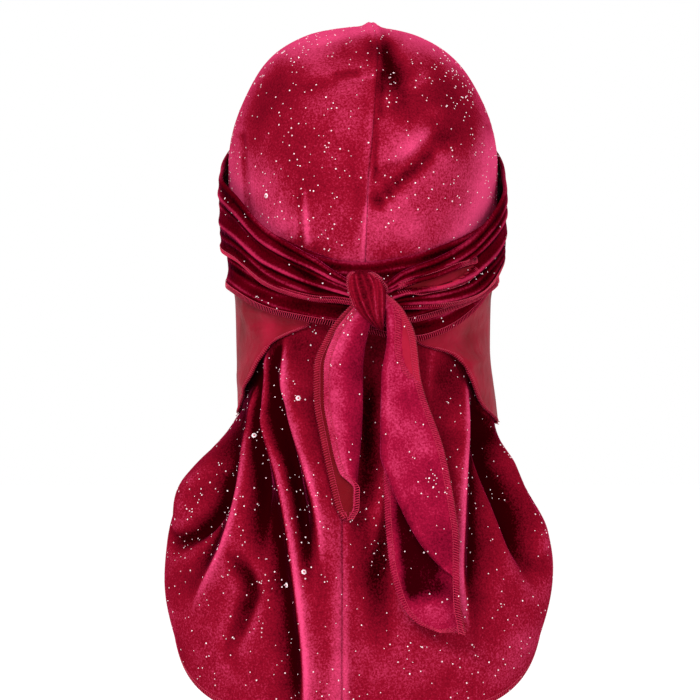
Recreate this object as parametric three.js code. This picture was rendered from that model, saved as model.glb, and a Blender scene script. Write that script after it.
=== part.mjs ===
// A durag as worn and tied: two panels, two long straps, the knot behind and its two tails.
// Millimetres. +Z is up, +Y is the wearer's front and +X the wearer's right.
// The origin is the inside of the crown's top, where the top of the head sits.
import * as THREE from 'three';

// The form that the cloth is drawn over
const headHalfWidth = 76.6;
const headHalfLength = 97;
const crownRise = 80;
const napeDrop = 240;

// The cloth and the room between its layers
const cloth = 1.2;
const strapCloth = 1.6;
const clearance = 0.5;
const layerPitch = 2.5;
const foldRadius = 1.2;
const foldRoom = 0.2;
const flareRoom = 0.8;
const seamGap = 0.3;

// The seam that stands up along the middle
const seamRidge = 3;
const seamRidgeWidth = 4;

// The cape, from the nape to its hem
const capeTop = 140;
const capeLength = 254;
const capeHalfWidth = 115;
const capeDepth = 104;
const hemCurl = 45;
const hemCurlRadius = 30;
const foldLift = 4;
const pleatHeight = 9;

// The straps, the knot and the tails
const strapWidth = 44;
const knotDrop = 158;
const knotHalfWidth = 11;
const knotHeight = 34;
const knotDepth = 9;
const tailTop = 164;
const tailGap = 2.4;
const tailOut = 18;
const leftTailLength = 116;
const leftTailWidth = 27;
const rightTailLength = 180;
const rightTailWidth = 43;

// Crown rows: where the seam is in degrees over the head, and the edge as a turn and a share of crownRise
const crownSections = [
  { down: 0.00, seam: 14, turn: 132, edge: 1.05 },
  { down: 0.22, seam: 52, turn: 114, edge: 1.30 },
  { down: 0.45, seam: 92, turn: 102, edge: 1.48 },
  { down: 0.70, seam: 135, turn: 94, edge: 1.62 },
  { down: 0.86, seam: 167, turn: 89, edge: 1.71 },
  { down: 1.00, seam: 194.5, turn: 86, edge: 1.75 },
];

// Standing seam: its sideways drift and its height, both along the whole length
const seamSections = [
  { down: 0.00, drift: 0.0, height: 0.00 },
  { down: 0.20, drift: 1.5, height: 0.00 },
  { down: 0.38, drift: 4.0, height: 1.00 },
  { down: 0.48, drift: 5.0, height: 1.00 },
  { down: 0.65, drift: 8.5, height: 0.75 },
  { down: 0.90, drift: 4.5, height: 0.30 },
  { down: 0.95, drift: 2.5, height: 0.00 },
  { down: 1.16, drift: -3.0, height: 0.00 },
  { down: 1.50, drift: -11.0, height: 0.15 },
  { down: 2.00, drift: -11.5, height: 0.15 },
];

// Cape rows: widths as shares of capeHalfWidth, depths of capeDepth, the end as a turn in degrees
const capeSections = [
  { level: 0.000, left: 0.645, right: 0.645, back: 0.903, centre: 0.00, end: 86, lift: 0.00, curl: 0.0 },
  { level: 0.071, left: 0.632, right: 0.630, back: 0.881, centre: 0.00, end: 86, lift: 0.00, curl: 0.0 },
  { level: 0.173, left: 0.632, right: 0.632, back: 0.851, centre: 0.00, end: 86, lift: 0.00, curl: 0.0 },
  { level: 0.307, left: 0.628, right: 0.668, back: 0.860, centre: 0.02, end: 86, lift: 0.00, curl: 0.0 },
  { level: 0.370, left: 0.690, right: 0.684, back: 0.870, centre: 0.06, end: 88, lift: 0.01, curl: 0.3 },
  { level: 0.464, left: 0.852, right: 0.793, back: 0.904, centre: 0.15, end: 90, lift: 0.02, curl: 0.7 },
  { level: 0.575, left: 0.922, right: 0.848, back: 0.952, centre: 0.25, end: 90, lift: 0.05, curl: 1.0 },
  { level: 0.720, left: 0.974, right: 0.917, back: 0.985, centre: 0.33, end: 90, lift: 0.09, curl: 1.0 },
  { level: 0.850, left: 1.000, right: 0.960, back: 1.000, centre: 0.37, end: 90, lift: 0.13, curl: 1.0 },
  { level: 1.000, left: 0.957, right: 0.935, back: 1.000, centre: 0.38, end: 90, lift: 0.18, curl: 0.9 },
];

// The side margin folded out over the cape: how many degrees of turn it covers
const marginFolds = [
  { level: 0.030, left: 1, right: 1 },
  { level: 0.045, left: 25, right: 25 },
  { level: 0.063, left: 46, right: 46 },
  { level: 0.085, left: 60, right: 60 },
  { level: 0.122, left: 62, right: 63 },
  { level: 0.146, left: 50, right: 63 },
  { level: 0.165, left: 41, right: 61 },
  { level: 0.190, left: 37, right: 44 },
  { level: 0.232, left: 31, right: 37 },
  { level: 0.272, left: 22, right: 31 },
  { level: 0.307, left: 9, right: 25 },
  { level: 0.330, left: 1, right: 17 },
  { level: 0.352, left: 0, right: 6 },
  { level: 0.370, left: 0, right: 0 },
];

// Crown dents: two ends and a width as shares of headHalfWidth, a depth as a share of pleatHeight
const crownDents = [
  { x1: 0.07, z1: -1.30, x2: 0.52, z2: -0.88, width: 0.11, depth: 0.36 },
  { x1: 0.16, z1: -0.18, x2: 0.22, z2: -0.60, width: 0.12, depth: 0.40 },
  { x1: 0.12, z1: -1.00, x2: 0.55, z2: -0.75, width: 0.10, depth: -0.25 },
  { x1: -0.40, z1: -0.48, x2: -0.05, z2: -0.40, width: 0.09, depth: 0.18 },
  { x1: -0.44, z1: -1.38, x2: -0.40, z2: -1.66, width: 0.07, depth: -0.22 },
];

// Pleats of the cape: the crest at five even steps between two levels, and widths, as shares of capeHalfWidth
const pleats = [
  { from: 0.22, to: 0.82, x: [-0.500, -0.582, -0.655, -0.732, -0.850], left: 0.07, right: 0.12, height: 1.0 },
  { from: 0.14, to: 1.10, x: [-0.478, -0.443, -0.378, -0.312, -0.280], left: 0.06, right: 0.11, height: 1.0 },
  { from: 0.13, to: 0.72, x: [-0.380, -0.345, -0.290, -0.228, -0.200], left: 0.05, right: 0.09, height: 0.7 },
  { from: 0.50, to: 1.15, x: [-0.165, -0.155, -0.150, -0.165, -0.175], left: 0.07, right: 0.07, height: 0.5 },
  { from: 0.22, to: 0.86, x: [0.498, 0.508, 0.510, 0.508, 0.515], left: 0.11, right: 0.06, height: 1.1 },
  { from: 0.14, to: 0.36, x: [0.345, 0.338, 0.328, 0.315, 0.305], left: 0.07, right: 0.07, height: 0.5 },
  { from: 0.36, to: 0.74, x: [0.180, 0.125, 0.070, 0.035, 0.015], left: 0.07, right: 0.07, height: 0.5 },
  { from: 0.32, to: 0.84, x: [0.660, 0.765, 0.868, 0.940, 1.000], left: 0.07, right: 0.10, height: 0.9 },
  { from: 0.36, to: 0.70, x: [-0.650, -0.740, -0.845, -0.910, -0.970], left: 0.08, right: 0.07, height: 0.8 },
  { from: 0.26, to: 0.84, x: [0.540, 0.605, 0.720, 0.830, 0.945], left: 0.07, right: 0.06, height: -1.1 },
  { from: 0.43, to: 0.76, x: [-0.620, -0.675, -0.785, -0.940, -1.050], left: 0.07, right: 0.07, height: -1.0 },
  { from: 0.60, to: 0.94, x: [-0.605, -0.625, -0.660, -0.675, -0.580], left: 0.07, right: 0.07, height: -0.6 },
  { from: 0.18, to: 0.68, x: [-0.510, -0.515, -0.530, -0.525, -0.500], left: 0.06, right: 0.05, height: -0.7 },
  { from: 0.18, to: 0.76, x: [-0.405, -0.375, -0.340, -0.300, -0.250], left: 0.06, right: 0.05, height: -0.7 },
  { from: 0.52, to: 0.90, x: [0.060, 0.070, 0.080, 0.090, 0.100], left: 0.08, right: 0.08, height: -0.5 },
];

// Strap routes: turn in degrees from behind, level as a share of knotDrop, width of strapWidth, layer out
const rightRoute = [
  { turn: 72, level: 0.81, width: 0.91, layer: 2 },
  { turn: 40, level: 0.905, width: 0.86, layer: 2 },
  { turn: 15, level: 0.962, width: 0.82, layer: 2 },
  { turn: 0, level: 0.975, width: 0.80, layer: 2 },
  { turn: -34, level: 0.930, width: 0.86, layer: 2 },
  { turn: -50, level: 0.886, width: 0.91, layer: 2 },
  { turn: -70, level: 0.829, width: 0.91, layer: 2 },
  { turn: -90, level: 0.797, width: 0.93, layer: 1 },
  { turn: -115, level: 0.709, width: 0.91, layer: 1 },
  { turn: -140, level: 0.608, width: 0.80, layer: 1 },
  { turn: -150, level: 0.540, width: 0.80, layer: 1.7 },
  { turn: -163, level: 0.430, width: 0.80, layer: 2 },
  { turn: -180, level: 0.335, width: 0.80, layer: 2 },
  { turn: -200, level: 0.272, width: 0.80, layer: 2 },
  { turn: -220, level: 0.320, width: 0.77, layer: 1.5 },
  { turn: -240, level: 0.494, width: 0.89, layer: 2 },
  { turn: -270, level: 0.665, width: 1.00, layer: 2 },
  { turn: -285, level: 0.740, width: 0.95, layer: 3 },
  { turn: -300, level: 0.816, width: 0.86, layer: 3 },
  { turn: -315, level: 0.886, width: 0.75, layer: 3 },
  { turn: -330, level: 0.930, width: 0.61, layer: 3 },
  { turn: -345, level: 0.956, width: 0.45, layer: 3.4 },
  { turn: -352, level: 0.975, width: 0.34, layer: 4.4 },
];
const leftRoute = [
  { turn: -72, level: 0.785, width: 0.91, layer: 1 },
  { turn: -40, level: 0.886, width: 0.86, layer: 1 },
  { turn: -15, level: 0.962, width: 0.82, layer: 1 },
  { turn: 0, level: 0.994, width: 0.80, layer: 1 },
  { turn: 22, level: 1.025, width: 0.80, layer: 1 },
  { turn: 35, level: 1.000, width: 0.80, layer: 1 },
  { turn: 55, level: 0.924, width: 0.77, layer: 1 },
  { turn: 68, level: 0.850, width: 0.77, layer: 1 },
  { turn: 90, level: 0.785, width: 0.93, layer: 1 },
  { turn: 115, level: 0.709, width: 0.91, layer: 1 },
  { turn: 140, level: 0.608, width: 0.80, layer: 1 },
  { turn: 165, level: 0.418, width: 0.80, layer: 1 },
  { turn: 180, level: 0.335, width: 0.80, layer: 1 },
  { turn: 200, level: 0.272, width: 0.80, layer: 1 },
  { turn: 220, level: 0.320, width: 0.77, layer: 1 },
  { turn: 232, level: 0.418, width: 0.82, layer: 1.8 },
  { turn: 245, level: 0.525, width: 0.89, layer: 2 },
  { turn: 270, level: 0.646, width: 1.00, layer: 2 },
  { turn: 285, level: 0.690, width: 0.93, layer: 3 },
  { turn: 300, level: 0.734, width: 0.84, layer: 3 },
  { turn: 320, level: 0.842, width: 0.70, layer: 3 },
  { turn: 340, level: 0.915, width: 0.53, layer: 3.2 },
  { turn: 352, level: 0.950, width: 0.36, layer: 4.4 },
];

// Knot sections: share of knotHeight, centre and half width as shares of knotHalfWidth, depth of knotDepth
const knotSections = [
  { level: 0.00, centre: -0.10, half: 0.45, depth: 0.40 },
  { level: 0.10, centre: 0.00, half: 0.85, depth: 0.80 },
  { level: 0.28, centre: 0.15, half: 1.00, depth: 1.00 },
  { level: 0.50, centre: 0.25, half: 0.92, depth: 1.00 },
  { level: 0.72, centre: 0.40, half: 0.74, depth: 0.88 },
  { level: 0.88, centre: 0.60, half: 0.48, depth: 0.70 },
  { level: 1.00, centre: 0.75, half: 0.20, depth: 0.35 },
];

// Tail outlines: share of the tail's length, the rest as shares of its width measured from its root
const leftTailSections = [
  { level: 0.00, back: -0.44, fold: -0.19, front: -0.36 },
  { level: 0.10, back: -0.70, fold: 0.02, front: -0.55 },
  { level: 0.28, back: -1.02, fold: -0.03, front: -0.74 },
  { level: 0.42, back: -1.02, fold: -0.03, front: -0.72 },
  { level: 0.60, back: -0.90, fold: -0.06, front: -0.56 },
  { level: 0.78, back: -0.74, fold: -0.13, front: -0.32 },
  { level: 0.86, back: -0.66, fold: -0.15, front: -0.20 },
  { level: 0.95, back: -0.56, fold: -0.17, front: -0.21 },
  { level: 1.00, back: -0.45, fold: -0.28, front: -0.31 },
];
const rightTailSections = [
  { level: 0.00, back: 0.14, fold: 0.12, front: 0.32 },
  { level: 0.08, back: 0.15, fold: 0.13, front: 0.48 },
  { level: 0.20, back: 0.14, fold: 0.06, front: 0.54 },
  { level: 0.44, back: 0.10, fold: 0.04, front: 0.86 },
  { level: 0.52, back: 0.08, fold: 0.14, front: 0.93 },
  { level: 0.62, back: 0.09, fold: 0.32, front: 1.00 },
  { level: 0.72, back: 0.12, fold: 0.55, front: 1.05 },
  { level: 0.80, back: 0.16, fold: 0.84, front: 1.05 },
  { level: 0.83, back: 0.19, fold: 0.98, front: 1.05 },
  { level: 0.92, back: 0.32, fold: 1.02, front: 1.06 },
  { level: 0.97, back: 0.50, fold: 1.06, front: 1.10 },
  { level: 1.00, back: 0.78, fold: 1.08, front: 1.12 },
];

const widest = -crownRise;
const radians = THREE.MathUtils.degToRad;

// 0 before `from`, 1 after `to`, smooth between
function ease(value, from, to) {
  const share = THREE.MathUtils.clamp((value - from) / (to - from), 0, 1);
  return share * share * (3 - 2 * share);
}

// A column of a table at a place between its rows, on a curve that keeps each row's value and never overshoots
function column(table, key, name, place) {
  const last = table.length - 1;
  const sign = Math.sign(table[last][key] - table[0][key]);
  const clamped = sign * THREE.MathUtils.clamp(sign * place, sign * table[0][key], sign * table[last][key]);
  let row = 0;
  while (row < last - 1 && sign * table[row + 1][key] < sign * clamped) row += 1;
  const step = (i) => table[i + 1][key] - table[i][key];
  const slope = (i) => (table[i + 1][name] - table[i][name]) / step(i);
  const tangent = (i) => {
    if (i === 0 || i === last) return slope(Math.min(i, last - 1));
    const product = slope(i - 1) * slope(i);
    return product > 0 ? 2 * product / (slope(i - 1) + slope(i)) : 0;
  };
  const h = step(row);
  const t = (clamped - table[row][key]) / h;
  return (2 * t ** 3 - 3 * t ** 2 + 1) * table[row][name] + (t ** 3 - 2 * t ** 2 + t) * h * tangent(row)
    + (3 * t ** 2 - 2 * t ** 3) * table[row + 1][name] + (t ** 3 - t ** 2) * h * tangent(row + 1);
}

// A point on the head form from a direction (a unit vector), moved out along the form's normal
function formPoint(direction, out) {
  const height = direction.z > 0 ? crownRise : napeDrop;
  const point = new THREE.Vector3(
    direction.x * headHalfWidth,
    direction.y * headHalfLength,
    direction.z * height,
  );
  const normal = new THREE.Vector3(
    direction.x / headHalfWidth,
    direction.y / headHalfLength,
    direction.z / height,
  ).normalize();
  return point.addScaledVector(normal, out).add(new THREE.Vector3(0, 0, widest));
}

// The direction of a turn from behind and a level on the form
function formDirection(turn, z) {
  const height = z > widest ? crownRise : napeDrop;
  const rise = THREE.MathUtils.clamp((z - widest) / height, -1, 1);
  const around = Math.sqrt(1 - rise * rise);
  return new THREE.Vector3(Math.sin(turn) * around, -Math.cos(turn) * around, rise);
}

// How far the dents push a point of the crown's back in, by its distance from each dent's line
function dentDepth(point) {
  if (point.y > 0) return 0;
  let depth = 0;
  for (const dent of crownDents) {
    const start = new THREE.Vector2(dent.x1, dent.z1).multiplyScalar(headHalfWidth);
    const end = new THREE.Vector2(dent.x2, dent.z2).multiplyScalar(headHalfWidth);
    const along = end.clone().sub(start);
    const offset = new THREE.Vector2(point.x, point.z).sub(start);
    const share = THREE.MathUtils.clamp(offset.dot(along) / along.lengthSq(), 0, 1);
    const distance = offset.addScaledVector(along, -share).length();
    depth += dent.depth * pleatHeight * Math.exp(-((distance / (dent.width * headHalfWidth)) ** 2));
  }
  return depth;
}

// The crown's middle surface: arcs over the form from the seam to the edge, level at the nape
function crownPoint(side, share, down, shift) {
  const seam = radians(column(crownSections, 'down', 'seam', down));
  const turn = radians(column(crownSections, 'down', 'turn', down));
  const edge = -crownRise * column(crownSections, 'down', 'edge', down);
  const start = new THREE.Vector3(0, Math.cos(seam), Math.sin(seam));
  const end = formDirection(turn, edge);
  const angle = start.angleTo(end);
  const arc = start.clone().multiplyScalar(Math.sin((1 - share) * angle))
    .addScaledVector(end, Math.sin(share * angle)).divideScalar(Math.sin(angle));
  const level = ease(down, 0.72, 1);
  const seamLevel = formPoint(start, 0).z;
  const flat = formDirection(share * turn, THREE.MathUtils.lerp(seamLevel, edge, share));
  const direction = arc.lerp(flat, level);
  direction.x += shift / headHalfWidth;
  direction.normalize();
  const point = formPoint(direction, cloth / 2);
  point.x *= side;
  const inward = direction.clone();
  inward.x *= side;
  return point.addScaledVector(inward, -dentDepth(point));
}

// How far the pleats lift the cape at a place, each a crest with its own width on either side
function pleatLift(x, level) {
  let lift = 0;
  for (const pleat of pleats) {
    if (level < pleat.from || level > pleat.to) continue;
    const place = (pleat.x.length - 1) * (level - pleat.from) / (pleat.to - pleat.from);
    const first = Math.min(pleat.x.length - 2, Math.floor(place));
    const crest = THREE.MathUtils.lerp(pleat.x[first], pleat.x[first + 1], place - first);
    const offset = x / capeHalfWidth - crest;
    const width = offset < 0 ? pleat.left : pleat.right;
    const fade = ease(level, pleat.from, pleat.from + 0.14) * (1 - ease(level, pleat.to - 0.22, pleat.to));
    lift += pleat.height * pleatHeight * fade * Math.exp(-((offset / width) ** 2));
  }
  return lift;
}

// The cape's middle surface: half an oval round the neck, then the margin folded out or curled forward
function capePoint(side, across, level, shift) {
  const name = side < 0 ? 'left' : 'right';
  const half = capeHalfWidth * column(capeSections, 'level', name, level);
  const back = capeDepth * column(capeSections, 'level', 'back', level);
  const centre = capeDepth * column(capeSections, 'level', 'centre', level);
  const end = radians(column(capeSections, 'level', 'end', level));
  const lift = capeLength * column(capeSections, 'level', 'lift', level);
  const fold = radians(column(marginFolds, 'level', name, level));
  const oval = (turn, out) => {
    const normal = new THREE.Vector3(side * Math.sin(turn) / half, -Math.cos(turn) / (back - centre), 0);
    const point = new THREE.Vector3(side * half * Math.sin(turn), -centre - (back - centre) * Math.cos(turn), 0);
    return point.addScaledVector(normal.normalize(), out);
  };
  const turn = Math.min(across, 1) * end + shift / half;
  const underFold = ease(turn, end - fold - 0.1, end - fold + 0.1) * ease(fold, 0, 0.05);
  const main = oval(turn, cloth / 2);
  const inside = (1 - underFold) * (1 - ease(Math.min(across, 1), 0.85, 1));
  main.copy(oval(turn, cloth / 2 + pleatLift(main.x, level) * inside));
  const z = -capeTop - capeLength * level + lift * Math.min(1, across) ** 4;
  if (across <= 1) return main.setZ(z);
  const share = across - 1;
  const ahead = oval(turn + 0.01, 0).sub(oval(turn - 0.01, 0)).normalize();
  const outward = oval(turn, 1).sub(oval(turn, 0)).normalize();
  if (fold > 0.03) {
    const turning = Math.PI * Math.min(1, share / 0.45) * Math.min(1, fold / 0.3);
    main.addScaledVector(outward, foldRadius * (1 - Math.cos(turning)));
    main.addScaledVector(ahead, foldRadius * Math.sin(turning));
    const run = Math.max(0, (share - 0.45) / 0.55);
    const raised = 2 * foldRadius + foldLift * run * ease(level, 0.16, 0.22);
    const laid = oval(turn - fold * run, cloth / 2 + raised);
    return (run > 0 ? laid : main).setZ(z);
  }
  const length = Math.max(2, hemCurl * column(capeSections, 'level', 'curl', level));
  const bend = share * length / hemCurlRadius;
  main.addScaledVector(ahead, hemCurlRadius * Math.sin(bend));
  main.addScaledVector(outward, -hemCurlRadius * (1 - Math.cos(bend)));
  return main.setZ(z + share * lift * 0.5);
}

// The whole panel's middle surface, with the seam's drift, its standing ridge and half the gap at the seam
function panelPoint(side, across, down) {
  const crown = down <= 1;
  const share = crown ? 0.8 * Math.min(across, 1) + 0.2 * Math.max(0, across - 1) : Math.min(across, 1);
  const squeezed = crown ? THREE.MathUtils.lerp(share, Math.min(across, 1), ease(down, 0.7, 0.99)) : share;
  const drift = column(seamSections, 'down', 'drift', down);
  const shift = (side * drift + seamGap / 2) * Math.max(0, 1 - share) ** 2;
  const point = crown ? crownPoint(side, squeezed, down, shift) : capePoint(side, across, down - 1, shift);
  const fromSeam = Math.abs(point.x - drift);
  const ridge = seamRidge * column(seamSections, 'down', 'height', down);
  const upright = new THREE.Vector3(0, point.y, Math.max(0, point.z - widest)).normalize();
  return point.addScaledVector(upright, ridge * Math.exp(-((fromSeam / seamRidgeWidth) ** 2)));
}

// A strap's middle surface: its route round the head, its width set off up and down the form
function strapPoint(route, along, across) {
  const turn = THREE.MathUtils.lerp(route[0].turn, route[route.length - 1].turn, along);
  const width = strapWidth * column(route, 'turn', 'width', turn);
  const z = -knotDrop * column(route, 'turn', 'level', turn) + (0.5 - across) * width;
  const layer = column(route, 'turn', 'layer', turn);
  const overFold = (2 * foldRadius + foldRoom) * ease(-z, capeTop - 3, capeTop + 11);
  const overFlare = flareRoom * ease(-z, capeTop + 20, capeTop + 38);
  const out = cloth + clearance + strapCloth / 2 + (layer - 1) * layerPitch + overFold + overFlare;
  return formPoint(formDirection(radians(turn), z), out);
}

// A closed wall round a middle surface, half its thickness to each side
function wall(columns, rows, thickness, pointAt) {
  const step = 1e-3;
  const corner = (i, j, out) => {
    const across = pointAt(columns[i] + step, rows[j]).sub(pointAt(columns[i] - step, rows[j]));
    const down = pointAt(columns[i], rows[j] + step).sub(pointAt(columns[i], rows[j] - step));
    const normal = across.cross(down).normalize();
    return pointAt(columns[i], rows[j]).addScaledVector(normal, out * thickness / 2);
  };
  const positions = [];
  const wide = columns.length;
  const tall = rows.length;
  for (const out of [1, -1]) {
    for (let j = 0; j < tall; j += 1) {
      for (let i = 0; i < wide; i += 1) positions.push(...corner(i, j, out).toArray());
    }
  }
  const far = wide * tall;
  const at = (i, j) => j * wide + i;
  const index = [];
  const quad = (a, b, c, d) => index.push(a, b, c, a, c, d);
  for (let j = 0; j < tall - 1; j += 1) {
    for (let i = 0; i < wide - 1; i += 1) {
      quad(at(i, j), at(i + 1, j), at(i + 1, j + 1), at(i, j + 1));
      quad(far + at(i, j), far + at(i, j + 1), far + at(i + 1, j + 1), far + at(i + 1, j));
    }
  }
  for (let i = 0; i < wide - 1; i += 1) {
    quad(at(i, 0), far + at(i, 0), far + at(i + 1, 0), at(i + 1, 0));
    quad(at(i, tall - 1), at(i + 1, tall - 1), far + at(i + 1, tall - 1), far + at(i, tall - 1));
  }
  for (let j = 0; j < tall - 1; j += 1) {
    quad(at(0, j), at(0, j + 1), far + at(0, j + 1), far + at(0, j));
    quad(at(wide - 1, j), far + at(wide - 1, j), far + at(wide - 1, j + 1), at(wide - 1, j + 1));
  }
  return closedGeometry(positions, index);
}

// A geometry whose faces point out, turned round where its volume comes out negative
function closedGeometry(positions, index) {
  const at = (i) => new THREE.Vector3().fromArray(positions, 3 * i);
  let volume = 0;
  for (let i = 0; i < index.length; i += 3) volume += at(index[i]).dot(at(index[i + 1]).cross(at(index[i + 2])));
  if (volume < 0) index.reverse();
  const geometry = new THREE.BufferGeometry();
  geometry.setAttribute('position', new THREE.Float32BufferAttribute(positions, 3));
  geometry.setIndex(index);
  geometry.computeVertexNormals();
  return geometry;
}

// Shares from 0 to 1 in equal steps of a power, finer at the start where the power is over 1
function shares(steps, power = 1) {
  return Array.from({ length: steps + 1 }, (_, i) => (i / steps) ** power);
}

function panel(side) {
  const margin = [0.15, 0.3, 0.45, 0.72, 1].map((share) => 1 + share);
  const columns = [...shares(20, 1.2), ...margin];
  const rows = [...shares(14), ...shares(18, 1.35).slice(1).map((share) => 1 + share)];
  return wall(columns, rows, cloth, (across, down) => panelPoint(side, across, down));
}

function strap(route) {
  return wall(shares(5), shares(56), strapCloth, (across, along) => strapPoint(route, along, across));
}

// The knot: rings from its sections, boxy ovals with lengthwise folds, closed by a point at each end
function knot() {
  const sides = 20;
  const rows = shares(10);
  const behind = cloth + 2 * clearance + strapCloth + layerPitch + 2 * foldRadius + foldRoom + flareRoom;
  const positions = [];
  const ring = (level) => {
    const centre = knotHalfWidth * column(knotSections, 'level', 'centre', level);
    const half = knotHalfWidth * column(knotSections, 'level', 'half', level);
    const depth = knotDepth * column(knotSections, 'level', 'depth', level);
    const z = knotHeight / 2 - knotDrop - knotHeight * level;
    const back = formPoint(formDirection(0, z), 0).y - behind;
    for (let i = 0; i < sides; i += 1) {
      const angle = 2 * Math.PI * i / sides;
      const round = (value) => Math.sign(value) * Math.abs(value) ** 0.75;
      const fold = 1 + 0.05 * Math.cos(5 * angle);
      const x = centre + half * fold * round(Math.cos(angle));
      const y = back - depth + depth * Math.min(fold, 1) * round(Math.sin(angle));
      positions.push(x, y, z);
    }
    return new THREE.Vector3(centre, back - depth, z);
  };
  const centres = rows.map(ring);
  const index = [];
  for (let j = 0; j < rows.length - 1; j += 1) {
    for (let i = 0; i < sides; i += 1) {
      const next = (i + 1) % sides;
      index.push(j * sides + i, (j + 1) * sides + i, (j + 1) * sides + next);
      index.push(j * sides + i, (j + 1) * sides + next, j * sides + next);
    }
  }
  const top = positions.length / 3;
  positions.push(...centres[0].toArray(), ...centres.at(-1).toArray());
  for (let i = 0; i < sides; i += 1) {
    const next = (i + 1) % sides;
    const low = (rows.length - 1) * sides;
    index.push(top, i, next);
    index.push(top + 1, low + next, low + i);
  }
  return closedGeometry(positions, index);
}

// How far behind the form's middle a hanging tail lies: below the knot it follows the cape's pleats
function tailBack(z) {
  const level = THREE.MathUtils.clamp((-z - capeTop) / capeLength, 0, 1);
  const capeBack = capeDepth * column(capeSections, 'level', 'back', level);
  const resting = pleatHeight + cloth + clearance;
  return -capeBack - THREE.MathUtils.lerp(tailOut, resting, ease(level, 0.09, 0.34));
}

// The left tail: a back ply, a fold at its right and a front ply that comes part of the way back
function leftTailPoint(across, down) {
  const z = -tailTop - leftTailLength * down;
  const edge = (name) => leftTailWidth * column(leftTailSections, 'level', name, down);
  const ply = Math.min(2, 2 * across);
  const x = ply < 1 ? THREE.MathUtils.lerp(edge('back'), edge('fold'), ply)
    : THREE.MathUtils.lerp(edge('fold'), edge('front'), ply - 1);
  const front = ease(across, 0.42, 0.58);
  return new THREE.Vector3(x, tailBack(z) - tailGap * front, z);
}

// The right tail: a back ply, a middle ply and a front ply, folded right and then left
function rightTailPoint(across, down) {
  const z = -tailTop - rightTailLength * down;
  const edge = (name) => knotHalfWidth * 0.75 + rightTailWidth * column(rightTailSections, 'level', name, down);
  const ply = 3 * across;
  let x = THREE.MathUtils.lerp(edge('back'), edge('front'), Math.min(1, ply));
  if (ply > 1) x = THREE.MathUtils.lerp(edge('front'), edge('fold'), Math.min(1, ply - 1));
  if (ply > 2) x = THREE.MathUtils.lerp(edge('fold'), edge('front'), ply - 2);
  const front = ease(across, 0.28, 0.39) + ease(across, 0.61, 0.72);
  return new THREE.Vector3(x, tailBack(z) - tailGap * (front - 1), z);
}

function leftTail() {
  const columns = [0, 0.15, 0.3, 0.42, 0.47, 0.53, 0.58, 0.72, 0.86, 1];
  return wall(columns, shares(12), cloth, leftTailPoint);
}

function rightTail() {
  const columns = [0, 0.14, 0.28, 0.315, 0.355, 0.39, 0.5, 0.61, 0.645, 0.685, 0.72, 0.86, 1];
  return wall(columns, shares(15), cloth, rightTailPoint);
}

const colours = { panel: 0x9b1230, strap: 0x7d0a22, knot: 0xa8183a, tail: 0xb01c40 };

function velvet(colour) {
  return new THREE.MeshStandardMaterial({ color: colour, roughness: 0.85, metalness: 0 });
}

const durag = new THREE.Group();
function add(name, geometry, colour) {
  const mesh = new THREE.Mesh(geometry, velvet(colour));
  mesh.name = name;
  durag.add(mesh);
}

add('left_panel', panel(-1), colours.panel);
add('right_panel', panel(1), colours.panel);
add('left_strap', strap(leftRoute), colours.strap);
add('right_strap', strap(rightRoute), colours.strap);
add('knot', knot(), colours.knot);
add('left_tail', leftTail(), colours.tail);
add('right_tail', rightTail(), colours.tail);

export default durag;
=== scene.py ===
# A crimson velvet durag with glitter, worn and tied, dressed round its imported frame.
# The source's formulas are repeated here in millimetres on fine grids, and meshes are made in metres.
# The cloth isn't simulated: its folds, creases and hems come from the formulas and short tables below.
import math

import bpy
import numpy as np
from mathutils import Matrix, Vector


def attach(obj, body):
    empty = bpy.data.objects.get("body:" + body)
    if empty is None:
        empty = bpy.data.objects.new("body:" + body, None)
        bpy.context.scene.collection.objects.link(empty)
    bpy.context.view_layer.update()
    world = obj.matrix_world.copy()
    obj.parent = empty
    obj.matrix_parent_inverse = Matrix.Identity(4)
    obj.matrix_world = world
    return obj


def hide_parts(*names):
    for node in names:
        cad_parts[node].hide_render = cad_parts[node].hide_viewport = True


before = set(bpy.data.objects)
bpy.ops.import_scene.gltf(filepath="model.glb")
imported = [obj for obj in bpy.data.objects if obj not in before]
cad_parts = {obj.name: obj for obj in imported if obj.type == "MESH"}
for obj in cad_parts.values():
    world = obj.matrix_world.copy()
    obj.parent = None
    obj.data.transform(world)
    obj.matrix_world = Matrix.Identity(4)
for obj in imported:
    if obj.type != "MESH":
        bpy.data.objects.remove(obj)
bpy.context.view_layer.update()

MM = 0.001
CROWN_RISE = 80.0
NAPE_DROP = 240.0
HEAD_HALF_WIDTH = 76.6
HEAD_HALF_LENGTH = 97.0
WIDEST = -CROWN_RISE

CLOTH = 1.2
STRAP_CLOTH = 1.4
LAYER_PITCH = 2.5
CLEARANCE = 0.5
FOLD_RADIUS = 1.2
FOLD_ROOM = 0.2
FLARE_ROOM = 0.8
FOLD_LIFT = 4.0
SEAM_GAP = 1.3
SEAM_ALLOWANCE = 6.0
SEAM_RIDGE = 3.0
SEAM_RIDGE_WIDTH = 4.0

CAPE_TOP = 140.0
CAPE_LENGTH = 254.0
CAPE_HALF_WIDTH = 115.0
CAPE_DEPTH = 104.0
HEM_CURL = 45.0
HEM_CURL_RADIUS = 30.0
PLEAT_HEIGHT = 9.0
PLEAT_DEEPER = 1.3

STRAP_WIDTH = 44.0
KNOT_DROP = 158.0
KNOT_HALF_WIDTH = 11.0
KNOT_HEIGHT = 34.0
KNOT_DEPTH = 9.0
TAIL_TOP = 164.0
TAIL_GAP = 2.4
TAIL_OUT = 18.0
LEFT_TAIL_LENGTH = 116.0
LEFT_TAIL_WIDTH = 27.0
RIGHT_TAIL_LENGTH = 180.0
RIGHT_TAIL_WIDTH = 43.0

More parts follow.
